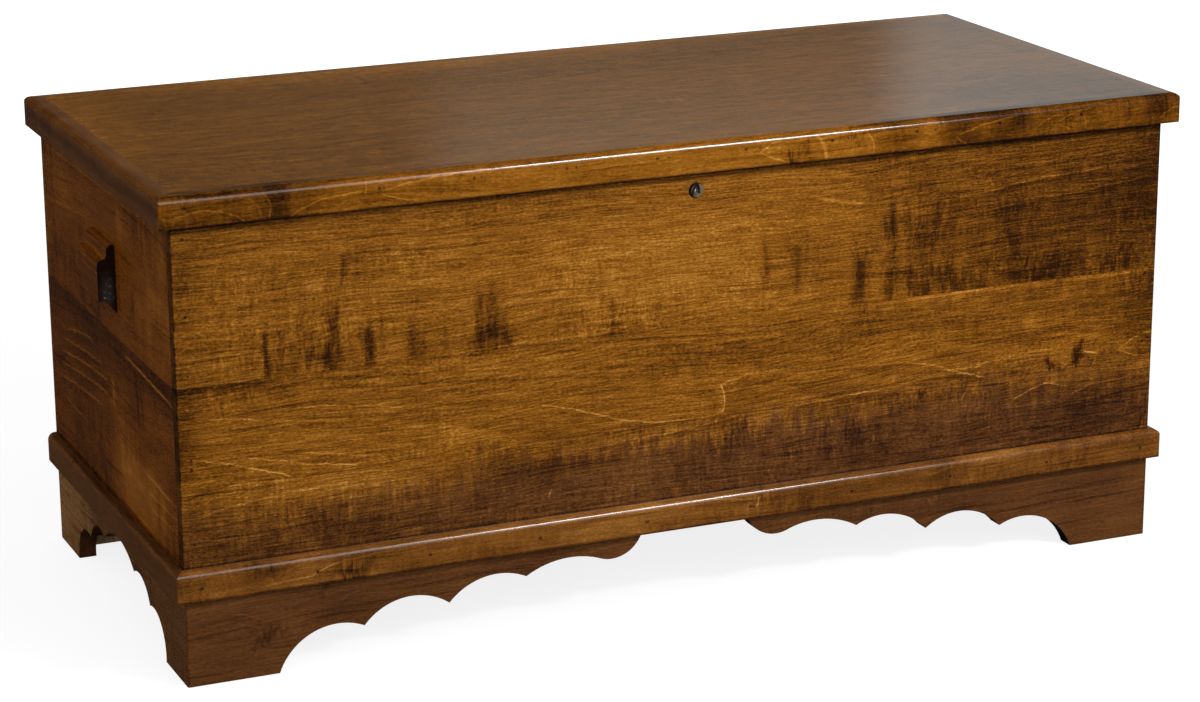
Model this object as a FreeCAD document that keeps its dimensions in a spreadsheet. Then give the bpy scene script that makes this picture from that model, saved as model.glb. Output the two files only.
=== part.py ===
import FreeCAD, Part

import math
import os
from types import SimpleNamespace

import Sketcher

# Blanket chest: boarded case on a scalloped skirt, base moulding, framed lid on friction hinges,
# wooden handle blocks and a cylinder lock.
# +X is the owner's right facing the front, +Y the back, +Z up. The origin is on the floor at the middle.

SIZES = [
    # case
    ("case_length", 1114),
    ("case_depth", 489),
    ("case_height", 472.6),
    ("panel_thickness", 19),
    ("front_tongue", 12),
    ("case_corner_radius", 2),
    ("bottom_thickness", 12),
    ("cleat_size", 19),
    # skirt under the case
    ("skirt_height", 100),
    ("skirt_thickness", 19),
    ("front_foot_width", 96),
    ("side_foot_width", 76),
    ("back_foot_width", 80),
    ("back_foot_slope", 26),
    ("back_apron_height", 42),
    ("bracket_gap", 123.4),
    ("bracket_nose", 49.5),
    ("corner_block_size", 38),
    ("corner_block_lift", 6),
    # base moulding
    ("moulding_height", 32),
    ("moulding_thickness", 10),
    ("moulding_lap", 7.3),
    ("moulding_round", 8),
    ("moulding_corner_radius", 2),
    # lid
    ("lid_side_overhang", 14.5),
    ("lid_front_overhang", 13.8),
    ("lid_back_clearance", 0.5),
    ("lid_gap", 2),
    ("lid_edge_height", 31.8),
    ("lid_edge_width", 19),
    ("lid_panel_thickness", 19),
    ("lid_round", 8),
    ("lid_corner_radius", 3),
    ("bumper_length", 20),
    ("bumper_width", 4),
    ("bumper_inset", 60),
    # brads
    ("brad_radius", 1),
    ("brad_length", 25),
    ("brad_end_margin", 25),
    ("lid_brad_pitch", 102),
    ("lid_brad_drop", 12),
    ("moulding_brad_pitch", 121),
    ("moulding_brad_lift", 13.6),
    ("panel_brad_pitch", 86.5),
    ("panel_brad_inset", 12.6),
    # handles
    ("handle_length", 78),
    ("handle_drop", 64.2),
    ("handle_flat", 3),
    ("handle_ovolo", 5.8),
    ("handle_step", 3.6),
    ("handle_cove", 5.7),
    ("handle_bead", 4.5),
    ("handle_face", 38.7),
    ("handle_grip", 6.8),
    ("handle_slant", 14.6),
    ("groove_length", 60),
    ("groove_height", 39.4),
    ("handle_screw_drop", 22.4),
    ("handle_screw_offset", 22),
    # hinges
    ("hinge_length", 60),
    ("hinge_inset", 150),
    ("hinge_leaf_height", 38),
    ("hinge_leaf_thickness", 1.5),
    ("hinge_lid_leaf_width", 8.2),
    ("hinge_barrel_radius", 4.75),
    ("hinge_pin_radius", 2),
    ("hinge_sleeve_radius", 3),
    ("hinge_running_gap", 0.4),
    ("pin_clearance", 0.05),
    # screws
    ("screw_radius", 1.8),
    ("screw_head_radius", 3.2),
    ("screw_head_height", 1.4),
    ("screw_length", 16),
    ("pan_head_radius", 4.5),
    ("pan_head_height", 2.5),
    ("handle_screw_length", 31),
    # lock
    ("lock_drop", 18.6),
    ("rim_radius", 8),
    ("rim_proud", 2),
    ("rim_recess", 0.9),
    ("barrel_radius", 6),
    ("barrel_tail", 7),
    ("plug_radius", 4.2),
    ("plug_tail_width", 5),
    ("key_slot_length", 5.6),
    ("key_slot_width", 1.2),
    ("key_slot_depth", 8),
    ("nut_width", 17),
    ("nut_thickness", 3.5),
    ("cam_reach", 15),
    ("cam_finger", 3),
    ("cam_finger_angle", 50),
    ("cam_width", 7),
    ("cam_hub_radius", 5),
    ("cam_thickness", 1.8),
    ("cam_gap", 0.4),
    ("cam_screw_radius", 1.25),
    ("cam_screw_head_radius", 3.2),
    ("cam_screw_head_height", 1.6),
    ("cam_screw_length", 8),
    ("strike_thickness", 1.5),
    ("strike_plate_depth", 22),
    ("strike_gap", 0.6),
    ("tab_inner", 4.3),
    ("tab_outer", 7.8),
    ("tab_low", 5.6),
    ("tab_height", 2.8),
    ("strike_leg_width", 16),
    ("strike_screw_length", 12),
    ("strike_screw_inset", 7.5),
    ("strike_screw_pitch", 9),
]

QUARTER_TURN = math.tan(math.pi / 8)
EIGHTH_TURN = math.tan(math.pi / 16)

# Scallops of a skirt's lower edge, each as (share of the run, share of the rise, bulge of the arc that
# leads to it). A bulge is the tangent of a quarter of the arc's angle.
FRONT_SCALLOPS = [(0.261, 0.400, 0.443), (0.525, 0.508, 0.399), (0.769, 0.679, 0.337), (1.0, 0.767, 0.219)]
NOSE_RISE = 0.975
NOSE_BULGE = 0.429
SIDE_SCALLOPS = [(0.318, 0.460, 0.558), (0.658, 0.657, 0.413)]
SIDE_ARCH_BULGE = 0.317


class Size:
    """A length worked out from the sheet: its expression, and the number it stands for when first drawn."""

    def __init__(self, text, value):
        self.text = text
        self.value = value

    def __add__(self, other):
        other = as_size(other)
        return Size(f"({self.text} + {other.text})", self.value + other.value)

    def __radd__(self, other):
        return as_size(other) + self

    def __sub__(self, other):
        other = as_size(other)
        return Size(f"({self.text} - {other.text})", self.value - other.value)

    def __rsub__(self, other):
        return as_size(other) - self

    def __mul__(self, other):
        other = as_size(other)
        return Size(f"({self.text} * {other.text})", self.value * other.value)

    __rmul__ = __mul__

    def __truediv__(self, other):
        other = as_size(other)
        return Size(f"({self.text} / {other.text})", self.value / other.value)

    def __neg__(self):
        return 0 - self


def as_size(number):
    return number if isinstance(number, Size) else Size(f"{number:.9g}", number)


def root(size):
    return Size(f"sqrt({size.text})", math.sqrt(size.value))


def fill_sheet(document, sizes):
    """Writes each size into the sheet, and returns them as expressions on its cells."""
    sheet = document.addObject("Spreadsheet::Sheet", "Sizes")
    for row, (alias, value) in enumerate(sizes, start=1):
        sheet.set(f"A{row}", alias)
        sheet.set(f"B{row}", str(value))
        sheet.setAlias(f"B{row}", alias)
    document.recompute()
    return SimpleNamespace(**{alias: Size(f"Sizes.{alias}", value) for alias, value in sizes})


doc = FreeCAD.newDocument("blanket_chest")
s = fill_sheet(doc, SIZES)
nodes = []


def keep(obj):
    """Marks an object as a sub-part, which its label names."""
    nodes.append(obj)
    return obj


# --- shapes whose sizes are bound to the sheet ---

TURN_TO_AXIS = {
    "X": FreeCAD.Rotation(FreeCAD.Vector(0, 1, 0), 90),
    "Y": FreeCAD.Rotation(FreeCAD.Vector(1, 0, 0), -90),
    "Z": FreeCAD.Rotation(),
    "-X": FreeCAD.Rotation(FreeCAD.Vector(0, 1, 0), -90),
    "-Y": FreeCAD.Rotation(FreeCAD.Vector(1, 0, 0), 90),
}


def bind(obj, **sizes):
    for name, size in sizes.items():
        obj.setExpression(name, as_size(size).text)


def place(obj, at, axis="Z"):
    """Puts an object at a point, with its own Z axis turned to the axis named."""
    obj.Placement = FreeCAD.Placement(FreeCAD.Vector(), TURN_TO_AXIS[axis])
    for letter, size in zip("xyz", at):
        obj.setExpression(f"Placement.Base.{letter}", as_size(size).text)


def box(name, x, y, z):
    """A block between a low and a high size on each axis."""
    block = doc.addObject("Part::Box", name)
    bind(block, Length=x[1] - x[0], Width=y[1] - y[0], Height=z[1] - z[0])
    place(block, (x[0], y[0], z[0]))
    return block


def rod(name, radius, length, at, axis):
    cylinder = doc.addObject("Part::Cylinder", name)
    bind(cylinder, Radius=radius, Height=length)
    place(cylinder, at, axis)
    return cylinder


def group(name, members):
    compound = doc.addObject("Part::Compound", name)
    compound.Links = members
    return compound


def fuse(name, members):
    fusion = doc.addObject("Part::MultiFuse", name)
    fusion.Shapes = members
    fusion.Refine = True
    return fusion


def cut(name, base, tools):
    difference = doc.addObject("Part::Cut", name)
    difference.Base = base
    difference.Tool = tools[0] if len(tools) == 1 else group(f"{name}_tools", tools)
    return difference


def common(name, first, second):
    overlap = doc.addObject("Part::Common", name)
    overlap.Base = first
    overlap.Tool = second
    return overlap


def arc_middle(start, end, bulge):
    chord = end - start
    return (start + end) / 2 + FreeCAD.Vector(chord.y, -chord.x, 0) * (bulge / 2)


def draw(sketch, outline):
    """Draws a closed outline of (a, b, bulge) corners, where the bulge is that of the stretch leaving it."""
    corners = [(as_size(a), as_size(b), bulge) for a, b, bulge in outline]
    following = corners[1:] + corners[:1]
    points = [FreeCAD.Vector(a.value, b.value, 0) for a, b, bulge in corners]
    for (a, b, bulge), start, end in zip(corners, points, points[1:] + points[:1]):
        if bulge:
            sketch.addGeometry(Part.Arc(start, arc_middle(start, end, bulge), end))
        else:
            sketch.addGeometry(Part.LineSegment(start, end))
    # a clockwise arc is stored from its end to its start
    leaving = [2 if bulge < 0 else 1 for a, b, bulge in corners]
    arriving = [3 - vertex for vertex in leaving]
    count = len(corners)
    for index in range(count):
        after = (index + 1) % count
        sketch.addConstraint(
            Sketcher.Constraint("Coincident", index, arriving[index], after, leaving[after])
        )
    for index, ((a, b, bulge), (next_a, next_b, _)) in enumerate(zip(corners, following)):
        constrain(sketch, ("DistanceX", -1, 1, index, leaving[index]), a)
        constrain(sketch, ("DistanceY", -1, 1, index, leaving[index]), b)
        if bulge:
            run = next_a - a
            rise = next_b - b
            chord = root(run * run + rise * rise)
            constrain(sketch, ("Radius", index), chord * ((1 + bulge**2) / (4 * abs(bulge))))


def constrain(sketch, kind, size):
    index = sketch.addConstraint(Sketcher.Constraint(*kind, size.value))
    sketch.setExpression(f"Constraints[{index}]", size.text)


def new_sketch(body, plane, outline):
    sketch = body.newObject("Sketcher::SketchObject", f"{body.Name}_outline")
    origin_plane = [part for part in body.Origin.OriginFeatures if part.Role == plane]
    sketch.AttachmentSupport = (origin_plane[0], [""])
    sketch.MapMode = "FlatFace"
    draw(sketch, outline)
    return sketch


def prism(name, plane, outline, low, high):
    """A padded outline: XY runs along Z, YZ along X and XZ along Y, from low to high."""
    body = doc.addObject("PartDesign::Body", name)
    pad = body.newObject("PartDesign::Pad", f"{name}_pad")
    pad.Profile = new_sketch(body, f"{plane}_Plane", outline)
    bind(pad, Length=high - low)
    # the XZ plane faces -Y, so its pad starts at the high end
    letter, start = {"XY": ("z", low), "YZ": ("x", low), "XZ": ("y", high)}[plane]
    body.setExpression(f"Placement.Base.{letter}", as_size(start).text)
    return body


def turned(name, outline):
    """A turned piece: an outline of (radius, height, bulge) revolved about the body's own Z axis."""
    body = doc.addObject("PartDesign::Body", name)
    revolution = body.newObject("PartDesign::Revolution", f"{name}_turning")
    sketch = new_sketch(body, "XZ_Plane", outline)
    revolution.Profile = sketch
    revolution.ReferenceAxis = (sketch, ["V_Axis"])
    revolution.Angle = 360
    return body


def copies(name, original, spots):
    """One group of copies of a piece, each at a point with its Z axis turned to the axis named."""
    links = []
    for number, (at, axis) in enumerate(spots, start=1):
        link = doc.addObject("App::Link", f"{name}_{number}")
        link.LinkedObject = original
        place(link, at, axis)
        links.append(link)
    return group(name, links)


def mirrored(outline):
    return [(-a, b, -bulge) for a, b, bulge in outline]


def both_sides(half, middle=0):
    """A whole outline from its first half: the other half is its image about the middle."""
    arriving = [0] + [bulge for a, b, bulge in half[:-1]]
    image = [(2 * middle - a, b, bulge) for (a, b, _), bulge in zip(half, arriving)]
    return half + image[::-1]


def ordered(first, second):
    return sorted((first, second), key=lambda size: size.value)


def spaced(low, high, pitch):
    """Places from low in steps of a pitch, with the last one at high."""
    steps = max(1, round((high.value - low.value) / pitch.value))
    return [low + pitch * step for step in range(steps)] + [high]


# --- places that the pieces share ---

side = s.case_length / 2
lid_back_overhang = s.hinge_running_gap + 2 * s.hinge_barrel_radius + s.lid_back_clearance
total_depth = s.lid_front_overhang + s.case_depth + lid_back_overhang
front = s.lid_front_overhang - total_depth / 2
back = front + s.case_depth
inner_side = side - s.panel_thickness
inner_front = front + s.panel_thickness
inner_back = back - s.panel_thickness
skirt_top = s.skirt_height
case_top = s.case_height
lid_side = side + s.lid_side_overhang
lid_front = front - s.lid_front_overhang
lid_back = total_depth / 2
lid_bottom = case_top + s.lid_gap
lid_top = lid_bottom + s.lid_edge_height
lid_panel_bottom = lid_top - s.lid_panel_thickness
moulding_bottom = skirt_top - s.moulding_lap
moulding_top = moulding_bottom + s.moulding_height
moulding_side = side + s.moulding_thickness
moulding_front = front - s.moulding_thickness
SIDES = (("left", -1), ("right", 1))

# --- brads: plain pins whose heads lie flush ---


def brads(name, spots):
    """Brads at (point, axis): the point is the head, and the axis the way it is driven."""
    return keep(
        group(
            name,
            [
                rod(f"{name}_{number}", s.brad_radius, s.brad_length, at, axis)
                for number, (at, axis) in enumerate(spots, start=1)
            ],
        )
    )


def strip_brads(name, half_length, low_y, high_y, pitch, height, with_back):
    """Brads driven through a strip that runs round the front and sides, and the back if asked."""
    across = spaced(s.brad_end_margin - half_length, half_length - s.brad_end_margin, pitch)
    along = spaced(low_y + s.brad_end_margin, high_y - s.brad_end_margin, pitch)
    spots = [((x, low_y, height), "Y") for x in across]
    spots += [((-half_length, y, height), "X") for y in along]
    spots += [((half_length, y, height), "-X") for y in along]
    if with_back:
        spots += [((x, high_y, height), "-Y") for x in across]
    return brads(name, spots)


lid_edge_brads = strip_brads(
    "lid_edge_brads", lid_side, lid_front, lid_back, s.lid_brad_pitch, lid_top - s.lid_brad_drop, True
)
base_moulding_brads = strip_brads(
    "base_moulding_brads",
    moulding_side,
    moulding_front,
    back,
    s.moulding_brad_pitch,
    moulding_bottom + s.moulding_brad_lift,
    False,
)
panel_brad_heights = spaced(
    moulding_top + s.brad_end_margin, case_top - s.panel_brad_inset, s.panel_brad_pitch
)
front_panel_brads = brads(
    "front_panel_brads",
    [
        ((sign * (side - s.panel_brad_inset), front, height), "Y")
        for label, sign in SIDES
        for height in panel_brad_heights
    ],
)

# --- screws ---


def countersunk(name, length):
    """A countersunk screw, head at its origin, driven along +Z."""
    return turned(
        name,
        [
            (0, 0, 0),
            (s.screw_head_radius, 0, 0),
            (s.screw_radius, s.screw_head_height, 0),
            (s.screw_radius, length, 0),
            (0, length, 0),
        ],
    )


wood_screw = countersunk("wood_screw", s.screw_length)
strike_screw = countersunk("strike_screw", s.strike_screw_length)
pan_screw = turned(
    "pan_screw",
    [
        (0, -s.pan_head_height, 0),
        (s.pan_head_radius - s.pan_head_height, -s.pan_head_height, QUARTER_TURN),
        (s.pan_head_radius, 0, 0),
        (s.screw_radius, 0, 0),
        (s.screw_radius, s.handle_screw_length, 0),
        (0, s.handle_screw_length, 0),
    ],
)
cam_screw = turned(
    "cam_screw",
    [
        (0, -s.cam_screw_head_height, 0),
        (s.cam_screw_head_radius, -s.cam_screw_head_height, 0),
        (s.cam_screw_head_radius, 0, 0),
        (s.cam_screw_radius, 0, 0),
        (s.cam_screw_radius, s.cam_screw_length, 0),
        (0, s.cam_screw_length, 0),
    ],
)

# --- hinges: three barrels behind the case, under the lid's back edge ---

hinge_y = back + s.hinge_running_gap + s.hinge_barrel_radius
hinge_z = lid_bottom - s.hinge_running_gap - s.hinge_barrel_radius
knuckle = s.hinge_length / 3
half_knuckle = knuckle / 2 - s.hinge_running_gap
hinge_spots = [s.hinge_inset - side, as_size(0), side - s.hinge_inset]
CASE_SCREW_ROWS = (0.37, 0.8)
CASE_SCREW_COLUMNS = (-0.34, 0.34)
LID_SCREW_COLUMNS = (-0.38, 0, 0.38)

hinge_case_screws = keep(
    copies(
        "hinge_case_screws",
        wood_screw,
        [
            (
                (
                    x + s.hinge_length * column,
                    back + s.hinge_leaf_thickness,
                    hinge_z - s.hinge_leaf_height * row,
                ),
                "-Y",
            )
            for x in hinge_spots
            for row in CASE_SCREW_ROWS
            for column in CASE_SCREW_COLUMNS
        ],
    )
)
hinge_lid_screws = keep(
    copies(
        "hinge_lid_screws",
        wood_screw,
        [
            (
                (
                    x + s.hinge_length * column,
                    back - s.hinge_running_gap - s.hinge_lid_leaf_width / 2,
                    lid_bottom - s.hinge_leaf_thickness,
                ),
                "Z",
            )
            for x in hinge_spots
            for column in LID_SCREW_COLUMNS
        ],
    )
)


def barrel(name, radius, low, high):
    return rod(name, radius, high - low, (low, hinge_y, hinge_z), "X")


def case_leaf(number, x):
    """A plate on the back of the case, with a knuckle at each end of its barrel."""
    name = f"case_leaf_{number}"
    left = x - s.hinge_length / 2
    right = x + s.hinge_length / 2
    plate_y = (back, back + s.hinge_leaf_thickness)
    clear = hinge_z - s.hinge_barrel_radius - s.hinge_running_gap
    return fuse(
        name,
        [
            box(f"{name}_plate", (left, right), plate_y, (hinge_z - s.hinge_leaf_height, clear)),
            box(f"{name}_left_neck", (left, left + knuckle), plate_y, (clear, hinge_z)),
            box(f"{name}_right_neck", (right - knuckle, right), plate_y, (clear, hinge_z)),
            barrel(f"{name}_left_knuckle", s.hinge_barrel_radius, left, left + knuckle),
            barrel(f"{name}_right_knuckle", s.hinge_barrel_radius, right - knuckle, right),
        ],
    )


def lid_leaf(number, x):
    """A plate under the lid's back edge, with the middle knuckle of the barrel."""
    name = f"lid_leaf_{number}"
    plate_z = (lid_bottom - s.hinge_leaf_thickness, lid_bottom)
    plate_end = back - s.hinge_running_gap
    plate_x = (x - s.hinge_length / 2, x + s.hinge_length / 2)
    return fuse(
        name,
        [
            box(f"{name}_plate", plate_x, (plate_end - s.hinge_lid_leaf_width, plate_end), plate_z),
            box(f"{name}_neck", (x - half_knuckle, x + half_knuckle), (plate_end, hinge_y), plate_z),
            barrel(f"{name}_knuckle", s.hinge_barrel_radius, x - half_knuckle, x + half_knuckle),
        ],
    )


hinge_pins = keep(
    group(
        "hinge_pins",
        [
            barrel(f"hinge_pin_{n}", s.hinge_pin_radius, x - s.hinge_length / 2, x + s.hinge_length / 2)
            for n, x in enumerate(hinge_spots, start=1)
        ],
    )
)
hinge_case_leaves = keep(
    cut(
        "hinge_case_leaves",
        group("case_leaves", [case_leaf(n, x) for n, x in enumerate(hinge_spots, start=1)]),
        [hinge_pins, hinge_case_screws],
    )
)
sleeve_bores = group(
    "sleeve_bores",
    [
        barrel(f"sleeve_bore_{n}", s.hinge_sleeve_radius, x - half_knuckle, x + half_knuckle)
        for n, x in enumerate(hinge_spots, start=1)
    ],
)
pin_bores = group(
    "pin_bores",
    [
        barrel(
            f"pin_bore_{n}", s.hinge_pin_radius + s.pin_clearance, x - half_knuckle, x + half_knuckle
        )
        for n, x in enumerate(hinge_spots, start=1)
    ],
)
hinge_friction_sleeves = keep(cut("hinge_friction_sleeves", sleeve_bores, [pin_bores]))
hinge_lid_leaves = keep(
    cut(
        "hinge_lid_leaves",
        group("lid_leaves", [lid_leaf(n, x) for n, x in enumerate(hinge_spots, start=1)]),
        [sleeve_bores, hinge_lid_screws],
    )
)

# --- lock: a cylinder through the front panel, whose cam turns up over a tab on the lid ---

lock_z = case_top - s.lock_drop
barrel_end = inner_front + s.barrel_tail
cam_front = barrel_end + s.cam_gap
cam_back = cam_front + s.cam_thickness
rim_face = front - s.rim_proud


def lock_rod(name, radius, low, high):
    return rod(name, radius, high - low, (0, low, lock_z), "Y")


lock_outside = fuse(
    "lock_outside",
    [
        lock_rod("lock_head", s.rim_radius, rim_face, front),
        lock_rod("lock_barrel", s.barrel_radius, rim_face, barrel_end),
    ],
)
plug_bore = lock_rod("plug_bore", s.plug_radius + s.pin_clearance, rim_face, barrel_end)
lock_rim_sharp = cut("lock_rim_sharp", lock_outside, [plug_bore])
lock_rim = keep(doc.addObject("Part::Chamfer", "lock_rim"))
lock_rim.Base = lock_rim_sharp

cam_screws = keep(copies("lock_cam_screw", cam_screw, [((0, cam_back, lock_z), "-Y")]))
tail_half = s.plug_tail_width / 2
plug_solid = fuse(
    "plug_solid",
    [
        lock_rod("plug_cylinder", s.plug_radius, rim_face + s.rim_recess, cam_front),
        box(
            "plug_tail",
            (-tail_half, tail_half),
            (cam_front, cam_back),
            (lock_z - tail_half, lock_z + tail_half),
        ),
    ],
)
key_slot = box(
    "key_slot",
    (-s.key_slot_width / 2, s.key_slot_width / 2),
    (rim_face, rim_face + s.rim_recess + s.key_slot_depth),
    (lock_z - s.key_slot_length / 2, lock_z + s.key_slot_length / 2),
)
lock_plug = keep(cut("lock_plug", plug_solid, [key_slot, cam_screws]))

nut_corner = s.nut_width / 2 / math.cos(math.pi / 6)
nut_blank = doc.addObject("Part::Prism", "nut_blank")
nut_blank.Polygon = 6
bind(nut_blank, Circumradius=nut_corner, Height=s.nut_thickness)
place(nut_blank, (0, inner_front, lock_z), "Y")
lock_nut = keep(cut("lock_nut", nut_blank, [lock_outside]))

# The cam lies level at rest, and its finger, which follows a circle about the plug, leads it upwards.
half_cam = s.cam_width / 2


def finger_sector(name, radius):
    sector = rod(name, radius, s.cam_thickness, (0, cam_back, lock_z), "-Y")
    bind(sector, Angle=s.cam_finger_angle)
    return sector


cam_finger = cut(
    "cam_finger",
    finger_sector("finger_outside", s.cam_reach),
    [finger_sector("finger_inside", s.cam_reach - s.cam_finger)],
)
cam_arm = box(
    "cam_arm",
    (0, root(s.cam_reach * s.cam_reach - half_cam * half_cam)),
    (cam_front, cam_back),
    (lock_z - half_cam, lock_z + half_cam),
)
cam_blank = fuse("cam_blank", [cam_finger, cam_arm, lock_rod("cam_hub", s.cam_hub_radius, cam_front, cam_back)])
lock_cam = keep(cut("lock_cam", cam_blank, [plug_solid]))

leg_front = cam_back + s.strike_gap
leg_back = leg_front + s.strike_thickness
tab_bottom = lock_z + s.tab_low
strike_x = (-s.tab_inner - s.strike_leg_width, -s.tab_inner)
plate_y = (leg_front, leg_front + s.strike_plate_depth)
plate_z = (lid_panel_bottom - s.strike_thickness, lid_panel_bottom)
strike_x_middle = (strike_x[0] + strike_x[1]) / 2
lock_strike_screws = keep(
    copies(
        "lock_strike_screws",
        strike_screw,
        [
            ((strike_x_middle, leg_front + s.strike_screw_inset + along, plate_z[0]), "Z")
            for along in (0, s.strike_screw_pitch)
        ],
    )
)
lock_strike = keep(
    cut(
        "lock_strike",
        fuse(
            "strike_solid",
            [
                box("strike_plate", strike_x, plate_y, plate_z),
                box("strike_leg", strike_x, (leg_front, leg_back), (tab_bottom, lid_panel_bottom)),
                box(
                    "strike_tab",
                    (-s.tab_outer, -s.tab_inner),
                    (cam_front - s.strike_gap, leg_back),
                    (tab_bottom, tab_bottom + s.tab_height),
                ),
            ],
        ),
        [lock_strike_screws],
    )
)

# --- handles: moulded blocks, screwed on from inside, with a finger groove under them ---

handle_top = case_top - s.handle_drop
ovolo_out = s.handle_flat + s.handle_ovolo
cove_out = ovolo_out + s.handle_cove
handle_out = cove_out + s.handle_bead
ovolo_low = handle_top - s.handle_ovolo
cove_high = ovolo_low - s.handle_step
cove_low = cove_high - s.handle_cove
face_high = cove_low - s.handle_bead
face_low = face_high - s.handle_face
handle_bottom = face_low - s.handle_slant
grip_in = handle_out - s.handle_grip
handle_outline = [
    (0, handle_top, 0),
    (s.handle_flat, handle_top, -QUARTER_TURN),
    (ovolo_out, ovolo_low, 0),
    (ovolo_out, cove_high, QUARTER_TURN),
    (cove_out, cove_low, -QUARTER_TURN),
    (handle_out, face_high, 0),
    (handle_out, face_low, 0),
    (grip_in, face_low, 0),
    (0, handle_bottom, 0),
]
handle_screw_z = handle_top - s.handle_screw_drop
handle_screws = keep(
    copies(
        "handle_screws",
        pan_screw,
        [
            ((sign * inner_side, offset * s.handle_screw_offset, handle_screw_z), axis)
            for sign, axis in ((-1, "-X"), (1, "X"))
            for offset in (-1, 1)
        ],
    )
)


def handle(label, sign):
    outline = [(side + a, b, bulge) for a, b, bulge in handle_outline]
    if sign < 0:
        outline = mirrored(outline)
    blank = prism(f"handle_{label}_blank", "XZ", outline, -s.handle_length / 2, s.handle_length / 2)
    groove = box(
        f"handle_{label}_groove",
        ordered(sign * side, sign * (side + grip_in)),
        (-s.groove_length / 2, s.groove_length / 2),
        (handle_bottom, handle_bottom + s.groove_height),
    )
    return keep(cut(f"handle_{label}", blank, [groove, handle_screws]))


for label, sign in SIDES:
    handle(label, sign)

# --- case ---


front_board = prism(
    "front_board",
    "XY",
    both_sides(
        [
            (side - s.case_corner_radius, front, QUARTER_TURN),
            (side, front + s.case_corner_radius, 0),
            (side, front + s.front_tongue, 0),
            (inner_side, front + s.front_tongue, 0),
            (inner_side, inner_front, 0),
        ]
    ),
    skirt_top,
    case_top,
)
lock_bore = lock_rod("lock_bore", s.barrel_radius, front, inner_front)
front_panel = keep(
    cut("front_panel", front_board, [lock_bore, front_panel_brads, base_moulding_brads])
)

wall_z = (skirt_top, case_top)
for label, sign in SIDES:
    across = ordered(sign * inner_side, sign * side)
    wall = box(f"{label}_side_board", across, (front + s.front_tongue, back), wall_z)
    keep(cut(f"{label}_side_panel", wall, [handle_screws, front_panel_brads, base_moulding_brads]))

back_board = box("back_board", (-inner_side, inner_side), (inner_back, back), wall_z)
back_panel = keep(cut("back_panel", back_board, [hinge_case_screws]))

cleat_z = (skirt_top, skirt_top + s.cleat_size)
cleat_inner_side = inner_side - s.cleat_size
bottom_cleats = keep(
    group(
        "bottom_cleats",
        [
            box("left_cleat", (-inner_side, -cleat_inner_side), (inner_front, inner_back), cleat_z),
            box("right_cleat", (cleat_inner_side, inner_side), (inner_front, inner_back), cleat_z),
            box(
                "front_cleat",
                (-cleat_inner_side, cleat_inner_side),
                (inner_front, inner_front + s.cleat_size),
                cleat_z,
            ),
            box(
                "back_cleat",
                (-cleat_inner_side, cleat_inner_side),
                (inner_back - s.cleat_size, inner_back),
                cleat_z,
            ),
        ],
    )
)
bottom_panel = keep(
    box(
        "bottom_panel",
        (-inner_side, inner_side),
        (inner_front, inner_back),
        (cleat_z[1], cleat_z[1] + s.bottom_thickness),
    )
)

# --- skirt: mitred at the front corners, flush with the case ---

skirt_inner_side = side - s.skirt_thickness
skirt_inner_front = front + s.skirt_thickness
skirt_inner_back = back - s.skirt_thickness
nose_end = -s.bracket_gap / 2
foot_end = s.front_foot_width - side
scallop_run = nose_end - s.bracket_nose - foot_end
ROUND_TO_MITRE = 1 - math.sqrt(0.5)
corner_step = s.case_corner_radius * ROUND_TO_MITRE


def scallops(start, run, rise, shares):
    """Corners of a scalloped edge that arches upwards from its foot, each with the arc that leaves it."""
    stops = [(0, 0)] + [(a, b) for a, b, bulge in shares[:-1]]
    return [
        (start + run * a, rise * b, -bulge) for (a, b), (_, _, bulge) in zip(stops, shares)
    ]


last_run, last_rise, _ = FRONT_SCALLOPS[-1]
bracket_outline = [
    (-side, 0, 0),
    *scallops(foot_end, scallop_run, moulding_bottom, FRONT_SCALLOPS),
    (foot_end + scallop_run * last_run, moulding_bottom * last_rise, NOSE_BULGE),
    (nose_end, moulding_bottom * NOSE_RISE, 0),
    (nose_end, skirt_top, 0),
    (-side, skirt_top, 0),
]
bracket_plan = [
    (corner_step - side, front + corner_step, EIGHTH_TURN),
    (s.case_corner_radius - side, front, 0),
    (nose_end, front, 0),
    (nose_end, skirt_inner_front, 0),
    (-skirt_inner_side, skirt_inner_front, 0),
]
side_skirt_plan = [
    (corner_step - side, front + corner_step, 0),
    (-skirt_inner_side, skirt_inner_front, 0),
    (-skirt_inner_side, back, 0),
    (-side, back, 0),
    (-side, front + s.case_corner_radius, EIGHTH_TURN),
]
middle = (front + back) / 2
half_arch = s.case_depth / 2 - s.side_foot_width
arch_share, arch_rise, _ = SIDE_SCALLOPS[-1]
side_skirt_outline = both_sides(
    [
        (front, skirt_top, 0),
        (front, 0, 0),
        *scallops(middle - half_arch, half_arch, moulding_bottom, SIDE_SCALLOPS),
        (middle - half_arch * (1 - arch_share), moulding_bottom * arch_rise, -SIDE_ARCH_BULGE),
    ],
    middle,
)

for label, sign in SIDES:
    face = bracket_outline if sign < 0 else mirrored(bracket_outline)
    plan = bracket_plan if sign < 0 else mirrored(bracket_plan)
    bracket = common(
        f"front_{label}_bracket",
        prism(f"front_{label}_face", "XZ", face, front, skirt_inner_front),
        prism(f"front_{label}_plan", "XY", plan, as_size(0), skirt_top),
    )
    keep(cut(f"skirt_front_{label}", bracket, [base_moulding_brads]))
    plan = side_skirt_plan if sign < 0 else mirrored(side_skirt_plan)
    low, high = (-side, -skirt_inner_side) if sign < 0 else (skirt_inner_side, side)
    board = common(
        f"{label}_skirt_board",
        prism(f"{label}_skirt_face", "YZ", side_skirt_outline, low, high),
        prism(f"{label}_skirt_plan", "XY", plan, as_size(0), skirt_top),
    )
    keep(cut(f"skirt_{label}", board, [base_moulding_brads]))

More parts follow.
